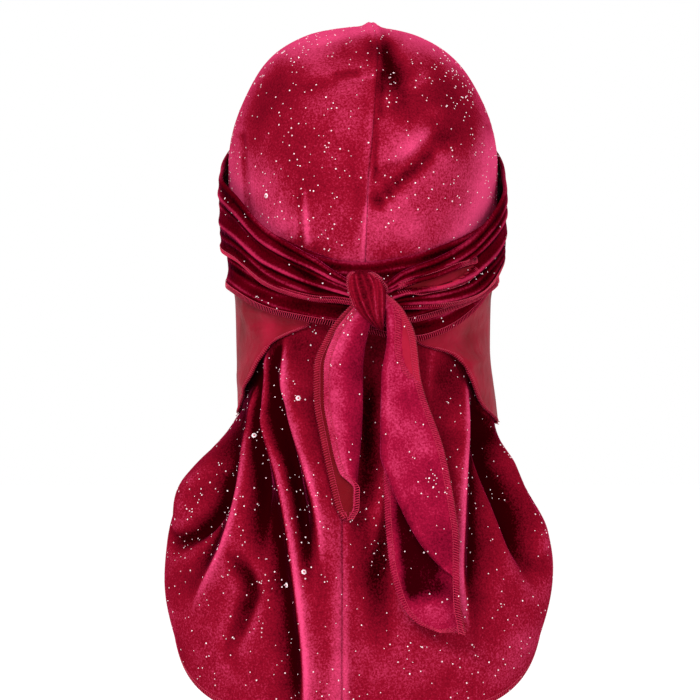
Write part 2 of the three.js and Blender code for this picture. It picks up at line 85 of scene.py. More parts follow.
STITCH_PITCH = 1.4
HEM_BAND = 3.2
THREAD_RADIUS = 0.19
DOT_RADII = (0.28, 0.4, 0.5)
DOT_SHARES = (0.5, 0.35, 0.15)
SEQUIN_RADIUS = 1.6
SEQUIN_HOLE = 0.6
FLOOR_LEVEL = -460.0

# What the dressed cloth changes against the source's solids: a fuller crown with shallower dents,
# corners of the hem lifted more, and pleats set in as shares of where they are
CROWN_FULLER_LEFT = 3.0
CROWN_FULLER_RIGHT = 2.0
DENT_SHARE = 0.6
HEM_LIFT_LEFT = 1.22
HEM_LIFT_RIGHT = 1.42
CREST_SET_IN = 0.14

# Painted highlight and shade, from dark to pale: a pale line on the cape's crests, shade beside them and
# under its neck, highlight and shade on strap folds
CREST_HIGHLIGHT = 0.75
CREST_WIDTH = 0.014
STEEP_SIDE_SHADE = 1.7
SHADE_WIDTH = 0.085
SOFT_CREST_HIGHLIGHT = 0.2
NECK_SHADE = 0.42
FOLD_LIGHT_AND_SHADE = 0.36
DARKEST = -1.5
PALEST = 1.1

# The photograph: its width in pixels, a pixel's size on an upright plane through the durag, and the
# camera's place level with the durag's middle
PHOTO_PIXELS = 700
PIXEL = 0.5735
CAMERA_DISTANCE = 3600.0
PICTURE_PLANE = 30.0
CAMERA_SIDE = -7.5
CAMERA_LEVEL = -185.8


def table(names, *rows):
    """A short table with named columns, each kept as an array."""
    return {name: np.array(values, float) for name, values in zip(names.split(), zip(*rows))}


# Crown rows: where the seam is in degrees over the head, and the edge as a turn and a share of the rise
CROWN = table(
    "down seam turn edge",
    (0.00, 14.0, 132.0, 1.05),
    (0.22, 52.0, 114.0, 1.30),
    (0.45, 92.0, 102.0, 1.48),
    (0.70, 135.0, 94.0, 1.62),
    (0.86, 167.0, 89.0, 1.71),
    (1.00, 194.5, 86.0, 1.75),
)

# The seam's sideways drift in millimetres, and how tall it stands
SEAM = table(
    "down drift height",
    (0.00, 0.0, 0.00),
    (0.20, 1.5, 0.00),
    (0.38, 4.0, 1.00),
    (0.48, 5.0, 1.00),
    (0.65, 8.5, 0.75),
    (0.90, 4.5, 0.30),
    (0.95, 2.5, 0.00),
    (1.16, -3.0, 0.00),
    (1.50, -11.0, 0.15),
    (2.00, -11.5, 0.15),
)

# Cape rows: widths and depths as shares of the cape's, the end as a turn in degrees
CAPE = table(
    "level left right back centre end lift curl",
    (0.000, 0.645, 0.645, 0.903, 0.00, 86, 0.00, 0.0),
    (0.071, 0.612, 0.612, 0.881, 0.00, 86, 0.00, 0.0),
    (0.173, 0.606, 0.608, 0.851, 0.00, 86, 0.00, 0.0),
    (0.307, 0.600, 0.640, 0.860, 0.02, 86, 0.00, 0.0),
    (0.370, 0.658, 0.654, 0.870, 0.06, 88, 0.01, 0.3),
    (0.464, 0.812, 0.735, 0.904, 0.15, 90, 0.02, 0.7),
    (0.575, 0.910, 0.815, 0.952, 0.25, 90, 0.05, 1.0),
    (0.720, 0.965, 0.912, 0.985, 0.33, 90, 0.09, 1.0),
    (0.850, 0.978, 0.935, 1.000, 0.37, 90, 0.13, 1.0),
    (1.000, 0.925, 0.875, 1.000, 0.38, 90, 0.18, 0.9),
)

# The side margin folded out over the cape: degrees of turn that it covers
MARGIN = table(
    "level left right",
    (0.030, 1, 1),
    (0.045, 25, 25),
    (0.063, 46, 46),
    (0.085, 60, 60),
    (0.122, 62, 63),
    (0.146, 50, 63),
    (0.165, 41, 61),
    (0.190, 37, 44),
    (0.232, 31, 37),
    (0.272, 22, 31),
    (0.307, 7, 23),
    (0.330, 1, 13),
    (0.352, 0, 3),
    (0.370, 0, 0),
)

# Dents of the crown's back: two ends and a width as shares of the head's half width, a depth of the pleats'
DENTS = table(
    "x1 z1 x2 z2 width depth",
    (0.07, -1.30, 0.52, -0.88, 0.10, 0.42),
    (0.16, -0.18, 0.22, -0.60, 0.12, 0.40),
    (0.12, -1.02, 0.55, -0.72, 0.10, -0.28),
    (-0.40, -0.48, -0.05, -0.40, 0.06, 0.12),
    (-0.44, -1.38, -0.40, -1.66, 0.035, -0.16),
    (-0.90, -0.83, -0.85, -1.42, 0.030, 0.22),
    (0.95, -0.75, 0.99, -1.32, 0.030, 0.22),
    (-0.62, -1.62, -0.30, -1.72, 0.060, 0.14),
    (-0.10, -0.95, -0.04, -1.55, 0.090, 0.12),
    (0.02, -1.60, 0.35, -1.50, 0.080, -0.12),
)

# Strokes of painted highlight and painted shade on the crown: ends and width as above, and how much paler
# or darker
LIGHT_AND_SHADE_STROKES = table(
    "x1 z1 x2 z2 width lie",
    (-0.44, -0.60, -0.30, -1.15, 0.32, -0.22),
    (0.45, -0.45, 0.62, -0.70, 0.20, -0.25),
    (0.92, -0.95, 0.88, -1.50, 0.22, 0.70),
    (0.03, -1.28, -0.01, -1.79, 0.012, 0.60),
    (-0.78, -1.15, -0.60, -1.50, 0.20, 0.50),
    (0.20, -1.45, 0.45, -1.55, 0.25, 0.25),
    (0.14, -0.18, 0.27, -0.52, 0.09, -1.10),
    (0.12, -0.40, 0.11, -0.68, 0.04, -0.70),
    (0.28, -0.72, 0.62, -0.80, 0.10, -0.35),
    (0.15, -0.60, 0.45, -0.42, 0.06, 0.45),
    (0.11, -1.23, 0.44, -0.84, 0.07, 0.55),
    (0.11, -1.32, 0.48, -1.01, 0.05, -0.75),
    (0.09, -0.73, 0.085, -1.10, 0.02, -0.60),
    (-0.43, -1.27, -0.41, -1.65, 0.02, 0.60),
    (-0.46, -1.30, -0.44, -1.62, 0.03, -0.40),
    (-0.20, -0.39, -0.05, -0.38, 0.03, -0.45),
    (-0.16, -0.46, 0.08, -0.40, 0.02, 0.35),
    (-0.89, -0.99, -0.87, -1.36, 0.015, -0.50),
    (-0.31, -0.13, 0.02, -0.04, 0.03, 0.30),
    (-0.74, -0.42, -0.90, -0.82, 0.24, -0.55),
    (0.66, -0.34, 0.86, -0.78, 0.24, -0.50),
)

# Pleats of the cape: the crest at five even steps from start to stop, as shares of its half width,
# how wide it is on its left and right, and its height, below zero for a valley. A line of 1 gives a sharp
# crest a thin painted highlight and painted shade beside its steep side.
PLEATS = table(
    "start stop x1 x2 x3 x4 x5 left right height line",
    (0.22, 0.82, -0.500, -0.582, -0.655, -0.732, -0.850, 0.040, 0.110, 1.10, 1.0),
    (0.14, 1.10, -0.478, -0.443, -0.378, -0.312, -0.280, 0.040, 0.110, 1.10, 1.0),
    (0.13, 0.72, -0.380, -0.345, -0.290, -0.218, -0.170, 0.040, 0.100, 1.00, 1.0),
    (0.50, 1.15, -0.165, -0.155, -0.150, -0.165, -0.175, 0.060, 0.060, 0.40, 0.0),
    (0.22, 0.86, 0.498, 0.508, 0.510, 0.508, 0.515, 0.110, 0.040, 1.10, 1.0),
    (0.14, 0.36, 0.345, 0.338, 0.328, 0.315, 0.305, 0.040, 0.040, 0.60, 0.0),
    (0.36, 0.74, 0.180, 0.125, 0.070, 0.035, 0.015, 0.050, 0.050, 0.50, 0.0),
    (0.32, 0.84, 0.660, 0.765, 0.868, 0.940, 1.000, 0.050, 0.090, 0.80, 0.0),
    (0.36, 0.70, -0.650, -0.740, -0.845, -0.910, -0.970, 0.070, 0.050, 0.80, 0.0),
    (0.26, 0.84, 0.540, 0.605, 0.720, 0.830, 0.945, 0.060, 0.045, -1.10, 0.0),
    (0.43, 0.76, -0.620, -0.675, -0.785, -0.940, -1.050, 0.050, 0.050, -1.00, 0.0),
    (0.60, 0.94, -0.605, -0.625, -0.660, -0.675, -0.580, 0.050, 0.050, -0.60, 0.0),
    (0.18, 0.68, -0.510, -0.515, -0.530, -0.525, -0.500, 0.050, 0.040, -0.70, 0.0),
    (0.18, 0.76, -0.405, -0.375, -0.340, -0.300, -0.250, 0.045, 0.035, -0.70, 0.0),
    (0.52, 0.90, 0.060, 0.070, 0.080, 0.090, 0.100, 0.080, 0.080, -0.50, 0.0),
    (0.20, 0.60, 0.030, 0.030, 0.030, 0.030, 0.020, 0.060, 0.060, -0.40, 0.0),
)

# Creases in the turned margins: two ends, width and height, all in millimetres
CREASES = table(
    "x1 z1 x2 z2 width height",
    (-71, -154, -57, -181, 2.8, 2.4),
    (-64, -163, -38, -167, 2.2, 1.8),
    (-60, -170, -40, -172, 2.0, -1.6),
    (-70, -200, -62, -216, 3.2, 1.6),
    (33, -178, 71, -157, 4.0, 2.2),
    (48, -184, 72, -172, 3.0, -1.8),
    (56, -196, 72, -188, 3.4, 1.8),
)

# Strap routes: turn in degrees from behind, level as a share of the knot's drop, width, layer
RIGHT_ROUTE = table(
    "turn level width layer",
    (72, 0.81, 0.91, 2),
    (40, 0.905, 0.86, 2),
    (15, 0.962, 0.82, 2),
    (0, 0.975, 0.80, 2),
    (-34, 0.930, 0.86, 2),
    (-50, 0.886, 0.91, 2),
    (-70, 0.829, 0.91, 2),
    (-90, 0.797, 0.93, 1),
    (-115, 0.709, 0.91, 1),
    (-140, 0.608, 0.80, 1),
    (-150, 0.540, 0.80, 1.7),
    (-163, 0.430, 0.80, 2),
    (-180, 0.335, 0.80, 2),
    (-200, 0.272, 0.80, 2),
    (-220, 0.320, 0.77, 1.5),
    (-240, 0.494, 0.89, 2),
    (-270, 0.665, 1.00, 2),
    (-285, 0.740, 0.95, 3),
    (-300, 0.816, 0.86, 3),
    (-315, 0.886, 0.75, 3),
    (-330, 0.930, 0.61, 3),
    (-345, 0.956, 0.45, 3.4),
    (-352, 0.975, 0.32, 4.6),
    (-359, 0.985, 0.24, 5.4),
)
LEFT_ROUTE = table(
    "turn level width layer",
    (-72, 0.785, 0.91, 1),
    (-40, 0.886, 0.86, 1),
    (-15, 0.962, 0.82, 1),
    (0, 0.994, 0.80, 1),
    (22, 1.025, 0.80, 1),
    (35, 1.000, 0.80, 1),
    (55, 0.924, 0.77, 1),
    (68, 0.850, 0.77, 1),
    (90, 0.785, 0.93, 1),
    (115, 0.709, 0.91, 1),
    (140, 0.608, 0.80, 1),
    (165, 0.418, 0.80, 1),
    (180, 0.335, 0.80, 1),
    (200, 0.272, 0.80, 1),
    (220, 0.320, 0.77, 1),
    (232, 0.418, 0.82, 1.8),
    (245, 0.525, 0.89, 2),
    (270, 0.646, 1.00, 2),
    (285, 0.690, 0.93, 3),
    (300, 0.734, 0.84, 3),
    (320, 0.842, 0.70, 3),
    (340, 0.915, 0.53, 3.2),
    (352, 0.950, 0.32, 4.6),
    (359, 0.970, 0.24, 5.4),
)

# The open fold on the right strap, where its reverse side shows: turns, middle and half height
FOLD_FROM = -309.0
FOLD_TO = -348.0
FOLD_MIDDLE = 0.42
FOLD_OPEN = 0.12
EDGE_ROLL = 1.6

# Lengthwise folds of a strap's visible end: where each runs across it, its width and its height
LEFT_FOLDS = table(
    "near far width height",
    (0.02, 0.00, 0.060, 1.2),
    (0.22, 0.30, 0.050, 2.6),
    (0.34, 0.44, 0.030, 0.9),
    (0.60, 0.56, 0.060, 2.6),
    (0.80, 0.70, 0.035, 1.0),
    (0.95, 0.98, 0.050, 1.6),
)
RIGHT_FOLDS = table(
    "near far width height",
    (0.03, 0.02, 0.050, 1.2),
    (0.20, 0.16, 0.040, 1.6),
    (0.31, 0.34, 0.035, 2.4),
    (0.60, 0.58, 0.055, 2.8),
    (0.76, 0.70, 0.030, 1.0),
    (0.87, 0.88, 0.040, 1.8),
    (0.97, 0.99, 0.040, 1.2),
)

KNOT = table(
    "level centre half depth",
    (0.00, -0.10, 0.45, 0.40),
    (0.10, 0.00, 0.85, 0.80),
    (0.28, 0.15, 1.00, 1.00),
    (0.50, 0.27, 0.90, 1.00),
    (0.72, 0.44, 0.66, 0.88),
    (0.88, 0.68, 0.38, 0.66),
    (1.00, 0.92, 0.12, 0.30),
)

# Folds on the side of the knot that shows: place across it, width and height
KNOT_FOLDS = table(
    "place width height",
    (-0.86, 0.10, 1.3),
    (-0.55, 0.08, 1.1),
    (-0.28, 0.07, 1.7),
    (-0.04, 0.06, 1.0),
    (0.20, 0.08, 1.8),
    (0.48, 0.07, 1.1),
    (0.80, 0.11, 1.5),
)

LEFT_TAIL = table(
    "level back fold front",
    (-0.10, 0.08, 0.36, 0.14),
    (-0.04, -0.20, 0.32, -0.10),
    (0.02, -0.46, 0.22, -0.34),
    (0.10, -0.72, 0.08, -0.58),
    (0.28, -1.02, -0.03, -0.82),
    (0.42, -1.02, -0.03, -0.82),
    (0.60, -0.90, -0.06, -0.70),
    (0.78, -0.74, -0.13, -0.50),
    (0.86, -0.66, -0.15, -0.20),
    (0.95, -0.56, -0.17, -0.21),
    (1.00, -0.45, -0.28, -0.31),
)
RIGHT_TAIL = table(
    "level back fold front",
    (-0.06, -0.10, -0.12, 0.06),
    (-0.03, 0.02, 0.00, 0.22),
    (0.00, 0.12, 0.10, 0.33),
    (0.08, 0.15, 0.13, 0.48),
    (0.20, 0.14, 0.06, 0.54),
    (0.44, 0.10, 0.04, 0.86),
    (0.52, 0.08, 0.14, 0.93),
    (0.62, 0.09, 0.32, 1.00),
    (0.72, 0.12, 0.55, 1.05),
    (0.80, 0.16, 0.84, 1.05),
    (0.83, 0.19, 0.98, 1.05),
    (0.92, 0.32, 1.02, 1.06),
    (0.97, 0.50, 1.06, 1.10),
    (1.00, 0.78, 1.08, 1.12),
)


def ease(value, low, high):
    """0 before low, 1 after high, and smooth between."""
    share = np.clip((value - low) / (high - low), 0, 1)
    return share * share * (3 - 2 * share)


def bell(share):
    """1 where the share is zero, falling smoothly away on both sides."""
    return np.exp(-(share**2))


def column(rows, key, name, place):
    """A column between its rows: a cubic through each value, with no overshoot."""
    keys, values = rows[key], rows[name]
    if keys[-1] < keys[0]:
        keys, values = keys[::-1], values[::-1]
    step = np.diff(keys)
    slope = np.diff(values) / step
    product = slope[:-1] * slope[1:]
    total = np.where(product > 0, slope[:-1] + slope[1:], 1.0)
    middle = np.where(product > 0, 2 * product / total, 0.0)
    tangent = np.concatenate([slope[:1], middle, slope[-1:]])
    place = np.clip(place, keys[0], keys[-1])
    row = np.clip(np.searchsorted(keys, place, side="right") - 1, 0, len(step) - 1)
    h = step[row]
    t = (place - keys[row]) / h
    start = (2 * t**3 - 3 * t**2 + 1) * values[row] + (t**3 - 2 * t**2 + t) * h * tangent[row]
    stop = (3 * t**2 - 2 * t**3) * values[row + 1] + (t**3 - t**2) * h * tangent[row + 1]
    return start + stop


def cape(name, level):
    """A column of the cape's rows at a level."""
    return column(CAPE, "level", name, level)


def points(x, y, z):
    """Three arrays joined as points."""
    return np.stack(np.broadcast_arrays(x, y, z), axis=-1).astype(float)


def unit(vectors):
    """Vectors of length one."""
    return vectors / np.maximum(np.linalg.norm(vectors, axis=-1, keepdims=True), 1e-12)


def waves(x, y, seed, scale, octaves=3):
    """Smooth wandering values round zero: a sum of sines in random directions, finer each octave."""
    source = np.random.default_rng(seed)
    total = np.zeros(np.broadcast(x, y).shape)
    for octave in range(octaves):
        for _ in range(4):
            angle = source.uniform(0, 2 * math.pi)
            phase = source.uniform(0, 2 * math.pi)
            pace = 2 * math.pi * 2**octave / scale * source.uniform(0.7, 1.3)
            total += np.sin(pace * (x * math.cos(angle) + y * math.sin(angle)) + phase) / 2**octave / 4
    return total


def form_direction(turn, z):
    """The direction of a turn from behind and a level on the head form."""
    height = np.where(z > WIDEST, CROWN_RISE, NAPE_DROP)
    rise = np.clip((z - WIDEST) / height, -1, 1)
    around = np.sqrt(1 - rise**2)
    return points(np.sin(turn) * around, -np.cos(turn) * around, rise)


def form_point(direction, out):
    """The point of the head form in a direction, moved out along the form's normal."""
    height = np.where(direction[..., 2] > 0, CROWN_RISE, NAPE_DROP)
    axes = points(HEAD_HALF_WIDTH, HEAD_HALF_LENGTH, height)
    normal = unit(direction / axes)
    return direction * axes + normal * np.asarray(out)[..., None] + np.array([0, 0, WIDEST])


def from_line(flat, x1, z1, x2, z2):
    """How far flat places are from a straight line, and the share along it that is nearest."""
    start = np.array([x1, z1])
    along = np.array([x2, z2]) - start
    reach = np.clip((flat - start) @ along / (along @ along), 0, 1)
    return np.linalg.norm(flat - start - reach[..., None] * along, axis=-1), reach


def strokes(rows, point):
    """The sum of soft strokes on the crown: each as strong as its row's last column says."""
    total = np.zeros(point.shape[:-1])
    for *ends, width, strength in zip(*rows.values()):
        distance, reach = from_line(point[..., [0, 2]] / HEAD_HALF_WIDTH, *ends)
        total += strength * bell(distance / width)
    return total


def dent_depth(point):
    """How far the dents push a point of the crown in: they are behind, and none in front."""
    return PLEAT_HEIGHT * DENT_SHARE * strokes(DENTS, point) * ease(-point[..., 1], 0, 30)


def crown_points(side, share, down, shift):
    """The crown's middle surface: arcs over the form from the seam to the edge, level at the nape."""
    seam = np.radians(column(CROWN, "down", "seam", down))
    turn = np.radians(column(CROWN, "down", "turn", down))
    edge = -CROWN_RISE * column(CROWN, "down", "edge", down)
    start = points(0, np.cos(seam), np.sin(seam))
    end = form_direction(turn, edge)
    angle = np.arccos(np.clip((start * end).sum(-1), -1, 1))
    arc = start * (np.sin((1 - share) * angle) / np.sin(angle))[..., None]
    arc = arc + end * (np.sin(share * angle) / np.sin(angle))[..., None]
    level = ease(down, 0.72, 1)[..., None]
    seam_level = form_point(start, np.zeros_like(seam))[..., 2]
    flat = form_direction(share * turn, seam_level + (edge - seam_level) * share)
    direction = arc * (1 - level) + flat * level
    direction[..., 0] += shift / HEAD_HALF_WIDTH
    direction = unit(direction)
    fuller = CROWN_FULLER_LEFT if side < 0 else CROWN_FULLER_RIGHT
    fuller = fuller * bell((direction[..., 2] - 0.78) / 0.2)
    fuller = fuller * ease(np.abs(direction[..., 0]), 0.1, 0.4)
    point = form_point(direction, CLOTH / 2 + fuller)
    mirror = np.array([side, 1, 1])
    return point * mirror - direction * mirror * dent_depth(point * mirror)[..., None]


def crest_at(start, stop, shares, level):
    """Where a pleat runs: one away from the sides is set in, as its lift carries it out to its place."""
    crest = column({"level": np.linspace(start, stop, 5), "x": np.array(shares)}, "level", "x", level)
    if abs(shares[-1]) > 0.9:
        return crest
    lifted = ease(level, start, start + 0.14) * (1 - ease(level, stop - 0.22, stop))
    return crest * (1 - CREST_SET_IN * lifted * (1 - ease(np.abs(crest), 0.62, 0.85)))


def pleat_lift(x, level):
    """How far the pleats lift the cape: each a sharp crest with a steep and a gentle side, or a valley."""
    lift = np.zeros(x.shape)
    for start, stop, *crest, left, right, height, line in zip(*PLEATS.values()):
        offset = x / CAPE_HALF_WIDTH - crest_at(start, stop, crest, level)
        width = np.where(offset < 0, left, right)
        sharp = np.sqrt((offset / width) ** 2 + 0.06) - 0.245
        if height < 0:
            sharp = (offset / width) ** 2
        fade = ease(level, start, start + 0.14) * (1 - ease(level, stop - 0.22, stop))
        lift += height * PLEAT_HEIGHT * PLEAT_DEEPER * fade * np.exp(-(np.abs(sharp) ** 1.2))
    return lift


def cape_points(side, across, level, shift):
    """The cape's middle surface: half an oval round the neck, then the margin folded out or curled."""
    name = "left" if side < 0 else "right"
    half = CAPE_HALF_WIDTH * cape(name, level)
    back = CAPE_DEPTH * cape("back", level)
    centre = CAPE_DEPTH * cape("centre", level)
    end = np.radians(cape("end", level))
    lift = CAPE_LENGTH * cape("lift", level)
    lift = lift * (HEM_LIFT_LEFT if side < 0 else HEM_LIFT_RIGHT)
    curl = HEM_CURL * cape("curl", level)
    fold = np.radians(column(MARGIN, "level", name, level))

    def oval(turn, out):
        normal = unit(points(side * np.sin(turn) / half, -np.cos(turn) / (back - centre), 0))
        place = points(side * half * np.sin(turn), -centre - (back - centre) * np.cos(turn), 0)
        return place + normal * np.asarray(out)[..., None]

    main = np.minimum(across, 1)
    turn = main * end + shift / half
    flat = np.full(turn.shape, CLOTH / 2)
    under = ease(turn, end - fold - 0.1, end - fold + 0.1) * ease(fold, 0, 0.05)
    inside = (1 - under) * (1 - ease(main, 0.85, 1))
    body = oval(turn, flat)
    body = oval(turn, flat + pleat_lift(body[..., 0], level) * inside)
    share = np.maximum(across - 1, 0)
    ahead = unit(oval(turn + 0.01, flat) - oval(turn - 0.01, flat))
    outward = unit(oval(turn, flat + 1) - oval(turn, flat))
    turning = math.pi * np.minimum(1, share / 0.45) * np.minimum(1, fold / 0.3)
    bent = body + outward * (FOLD_RADIUS * (1 - np.cos(turning)))[..., None]
    bent = bent + ahead * (FOLD_RADIUS * np.sin(turning))[..., None]
    run = np.maximum(0, (share - 0.45) / 0.55)
    raised = 2 * FOLD_RADIUS + FOLD_LIFT * run * ease(level, 0.16, 0.22) * (1 - ease(level, 0.24, 0.31))
    laid = oval(turn - fold * run, flat + raised)
    spot = np.stack([laid[..., 0], -CAPE_TOP - CAPE_LENGTH * level], -1)
    for *ends, width, height in zip(*CREASES.values()):
        away, reach = from_line(spot, *ends)
        taper = np.sin(math.pi * np.clip(reach, 0.06, 0.94)) ** 0.5
        raised = raised + height * taper * bell(away / width) * ease(run, 0.05, 0.3)
    laid = oval(turn - fold * run, flat + raised)
    folded = np.where((run > 0)[..., None], laid, bent)
    bend = share * np.maximum(2, curl) / HEM_CURL_RADIUS
    curled = body + ahead * (HEM_CURL_RADIUS * np.sin(bend))[..., None]
    curled = curled - outward * (HEM_CURL_RADIUS * (1 - np.cos(bend)))[..., None]
    point = np.where((fold > 0.03)[..., None], folded, curled)
    point[..., 2] = -CAPE_TOP - CAPE_LENGTH * level + lift * main**3
    point[..., 2] += np.where(fold > 0.03, 0, share * lift * 0.5)
    return point


def panel_points(side, across, down):
    """One panel's middle surface on its grid, with the seam's drift, gap and standing ridge."""
    crown = down <= 1
    outer = np.maximum(0, across - 1)
    inner = np.minimum(across, 1)
    share = np.where(crown, 0.8 * inner + 0.2 * outer, inner)
    blend = ease(down, 0.7, 0.99)
    squeezed = share * (1 - blend) + inner * blend
    drift = column(SEAM, "down", "drift", down)
    shift = (side * drift + SEAM_GAP / 2) * np.maximum(0, 1 - share) ** 2
    top = crown_points(side, squeezed, np.minimum(down, 1), shift)
    low = cape_points(side, across, np.maximum(down - 1, 0), shift)
    point = np.where(crown[..., None], top, low)
    ridge = SEAM_RIDGE * column(SEAM, "down", "height", down)
    from_seam = np.abs(point[..., 0] - drift)
    upright = unit(points(0, point[..., 1], np.maximum(0, point[..., 2] - WIDEST)))
    return point + upright * (ridge * bell(from_seam / SEAM_RIDGE_WIDTH))[..., None]


def open_fold(turn):
    """The open fold of the right strap: how far across its lens starts and stops at each turn."""
    share = np.clip((turn - FOLD_FROM) / (FOLD_TO - FOLD_FROM), 0, 1)
    half = FOLD_OPEN * np.sin(math.pi * share) ** 0.8
    middle = FOLD_MIDDLE + 0.06 * (1 - share)
    return middle - half, middle + half


def fold_lines(fold_rows, along):
    """The lines of a strap's folds across it: each drifts on its way to the knot and wavers a little."""
    near_knot = ease(along, 0.62, 0.95)
    for near, far, wide, height in zip(*fold_rows.values()):
        yield far + (near - far) * near_knot + 0.02 * np.sin(26 * along + 40 * near), wide, height


def strap_points(strap, across, along):
    """One strap's middle surface: its route round the head, its width set off up and down the form."""
    route, fold_rows, opened = strap
    turn = route["turn"][0] + (route["turn"][-1] - route["turn"][0]) * along
    width = STRAP_WIDTH * column(route, "turn", "width", turn)
    z = -KNOT_DROP * column(route, "turn", "level", turn) + (0.5 - across) * width
    layer = column(route, "turn", "layer", turn)
    over_fold = (2 * FOLD_RADIUS + FOLD_ROOM) * ease(-z, CAPE_TOP - 3, CAPE_TOP + 11)
    over_flare = FLARE_ROOM * ease(-z, CAPE_TOP + 20, CAPE_TOP + 38)
    out = CLOTH + CLEARANCE + STRAP_CLOTH / 2 + (layer - 1) * LAYER_PITCH + over_fold + over_flare
    behind = np.abs((turn + 180) % 360 - 180)
    visible = 0.12 + 0.88 * ease(along, 0.55, 0.78) * (1 - 0.75 * ease(behind, 40, 90))
    folds = np.zeros(out.shape)
    for line, wide, height in fold_lines(fold_rows, along):
        offset = np.sqrt(((across - line) / wide) ** 2 + 0.02) - 0.14
        folds += height * np.exp(-(offset**1.2))
    folds += 0.25 * (waves(across * 40, along * 90, 11, 9.0, 2) + 1)
    if opened:
        low, high = open_fold(turn)
        present = ease(high - low, 0, 0.06)
        lip = 2.4 * bell(np.maximum(low - across, 0) / 0.07) * (across < low)
        inside = (across >= low) * (across <= high)
        folds = folds * (1 - present * inside) + present * lip
    rolled = 1 - np.clip(across / 0.06, 0, 1)
    roll = EDGE_ROLL * (1 - np.sqrt(1 - rolled**2))
    return form_point(form_direction(np.radians(turn), z), out + visible * folds - roll)


def strap_tone_and_shading(fold_rows, across, along):
    """A strap's tone: random variation, with a thin painted highlight on each fold and painted shade under
    it.
    """
    shade_and_tone = -0.35 + 0.5 * waves(across * 25, along * 120, 9, 14.0, 3)
    for line, wide, height in fold_lines(fold_rows, along):
        below = across - line
        shade_and_tone += FOLD_LIGHT_AND_SHADE * height * bell(below / 0.020)
        shade_and_tone -= FOLD_LIGHT_AND_SHADE * height * bell((below - 0.07) / 0.05)
    return np.clip(shade_and_tone, -1.2, 1.1)


def strap_line(strap, across, along, inner):
    """A line on a strap with the line beside it and the outward normals, for a hem that isn't an edge."""
    place = strap_points(strap, across, along)
    beside = strap_points(strap, across + inner, along)
    out = form_direction(np.arctan2(place[:, 0], -place[:, 1]), place[:, 2])
    axes = np.array([HEAD_HALF_WIDTH, HEAD_HALF_LENGTH, NAPE_DROP])
    return place, beside, unit(out / axes)


def grid_normals(point):
    """The normals of a grid of points: each from the lines that run across and down it."""
    across = np.gradient(point, axis=1)
    down = np.gradient(point, axis=0)
    return unit(np.cross(across, down))


def blurred(values, steps):
    """A grid of points or values averaged with its neighbours, a number of times."""
    for _ in range(steps):
        padded = np.concatenate([values[:1], values, values[-1:]])
        values = (padded[:-2] + 2 * values + padded[2:]) / 4
        padded = np.concatenate([values[:, :1], values, values[:, -1:]], axis=1)
        values = (padded[:, :-2] + 2 * values + padded[:, 2:]) / 4
    return values


def relief_shading(point, normal):
    """Painted highlight and shade from the relief: pale on a crest, dark in a hollow, from -1 to 1."""
    fine = ((point - blurred(point, 6)) * normal).sum(-1)
    broad = ((point - blurred(point, 60)) * normal).sum(-1)
    return np.clip(fine / 0.35, -0.6, 1.0) * 0.3 + np.clip(broad / 3.0, -0.8, 0.5) * 0.25


def crown_painted_light(point):
    """Painted sheen, paler towards the crown's edge, and soft strokes of painted highlight and painted
    shade.
    """
    from_middle = np.linalg.norm(point[..., [0, 2]] / HEAD_HALF_WIDTH + np.array([0, 1]), axis=-1)
    return 1.1 * ease(from_middle, 0.76, 1.08) - 0.14 + strokes(LIGHT_AND_SHADE_STROKES, point)


def unpleated(side, across, down):
    """How far to the side each place of the cape is before its pleats lift it."""
    level = np.maximum(down - 1, 0)
    half = CAPE_HALF_WIDTH * cape("left" if side < 0 else "right", level)
    inner = np.clip(across, 0, 1)
    shift = (side * column(SEAM, "down", "drift", down) + SEAM_GAP / 2) * (1 - inner) ** 2
    turn = inner * np.radians(cape("end", level)) + shift / half
    return side * half * np.sin(turn)


def cape_painted_light(x, level):
    """Painted light on the cape: a thin painted highlight on each sharp crest, painted shade beside its
    steep side, broad painted highlights on soft crests, painted shade in valleys and under its neck.
    """
    share = x / CAPE_HALF_WIDTH
    shade_and_tone = np.zeros(share.shape)
    for start, stop, *crest, left, right, height, line in zip(*PLEATS.values()):
        offset = share - crest_at(start, stop, crest, level)
        fade = ease(level, start, start + 0.08) * (1 - ease(level, stop - 0.25, stop))
        if line:
            gentle = offset * np.sign(right - left)
            steep = np.maximum(-gentle, 0) / SHADE_WIDTH
            shade_and_tone += fade * CREST_HIGHLIGHT * bell(offset / CREST_WIDTH)
            shade_and_tone -= fade * STEEP_SIDE_SHADE * np.exp(-(steep**1.6)) * ease(steep, 0.02, 0.2)
            shade_and_tone += fade * 0.10 * bell(np.maximum(gentle, 0) / 0.06) * (gentle > 0)
        else:
            wide = np.where(offset < 0, left, right)
            shade_and_tone += (SOFT_CREST_HIGHLIGHT if height > 0 else 1.0) * height * fade * bell(offset / wide)
    return np.clip(shade_and_tone, DARKEST, PALEST) - NECK_SHADE * ease(level, 0.1, 0.2) * (1 - ease(level, 0.5, 0.8))


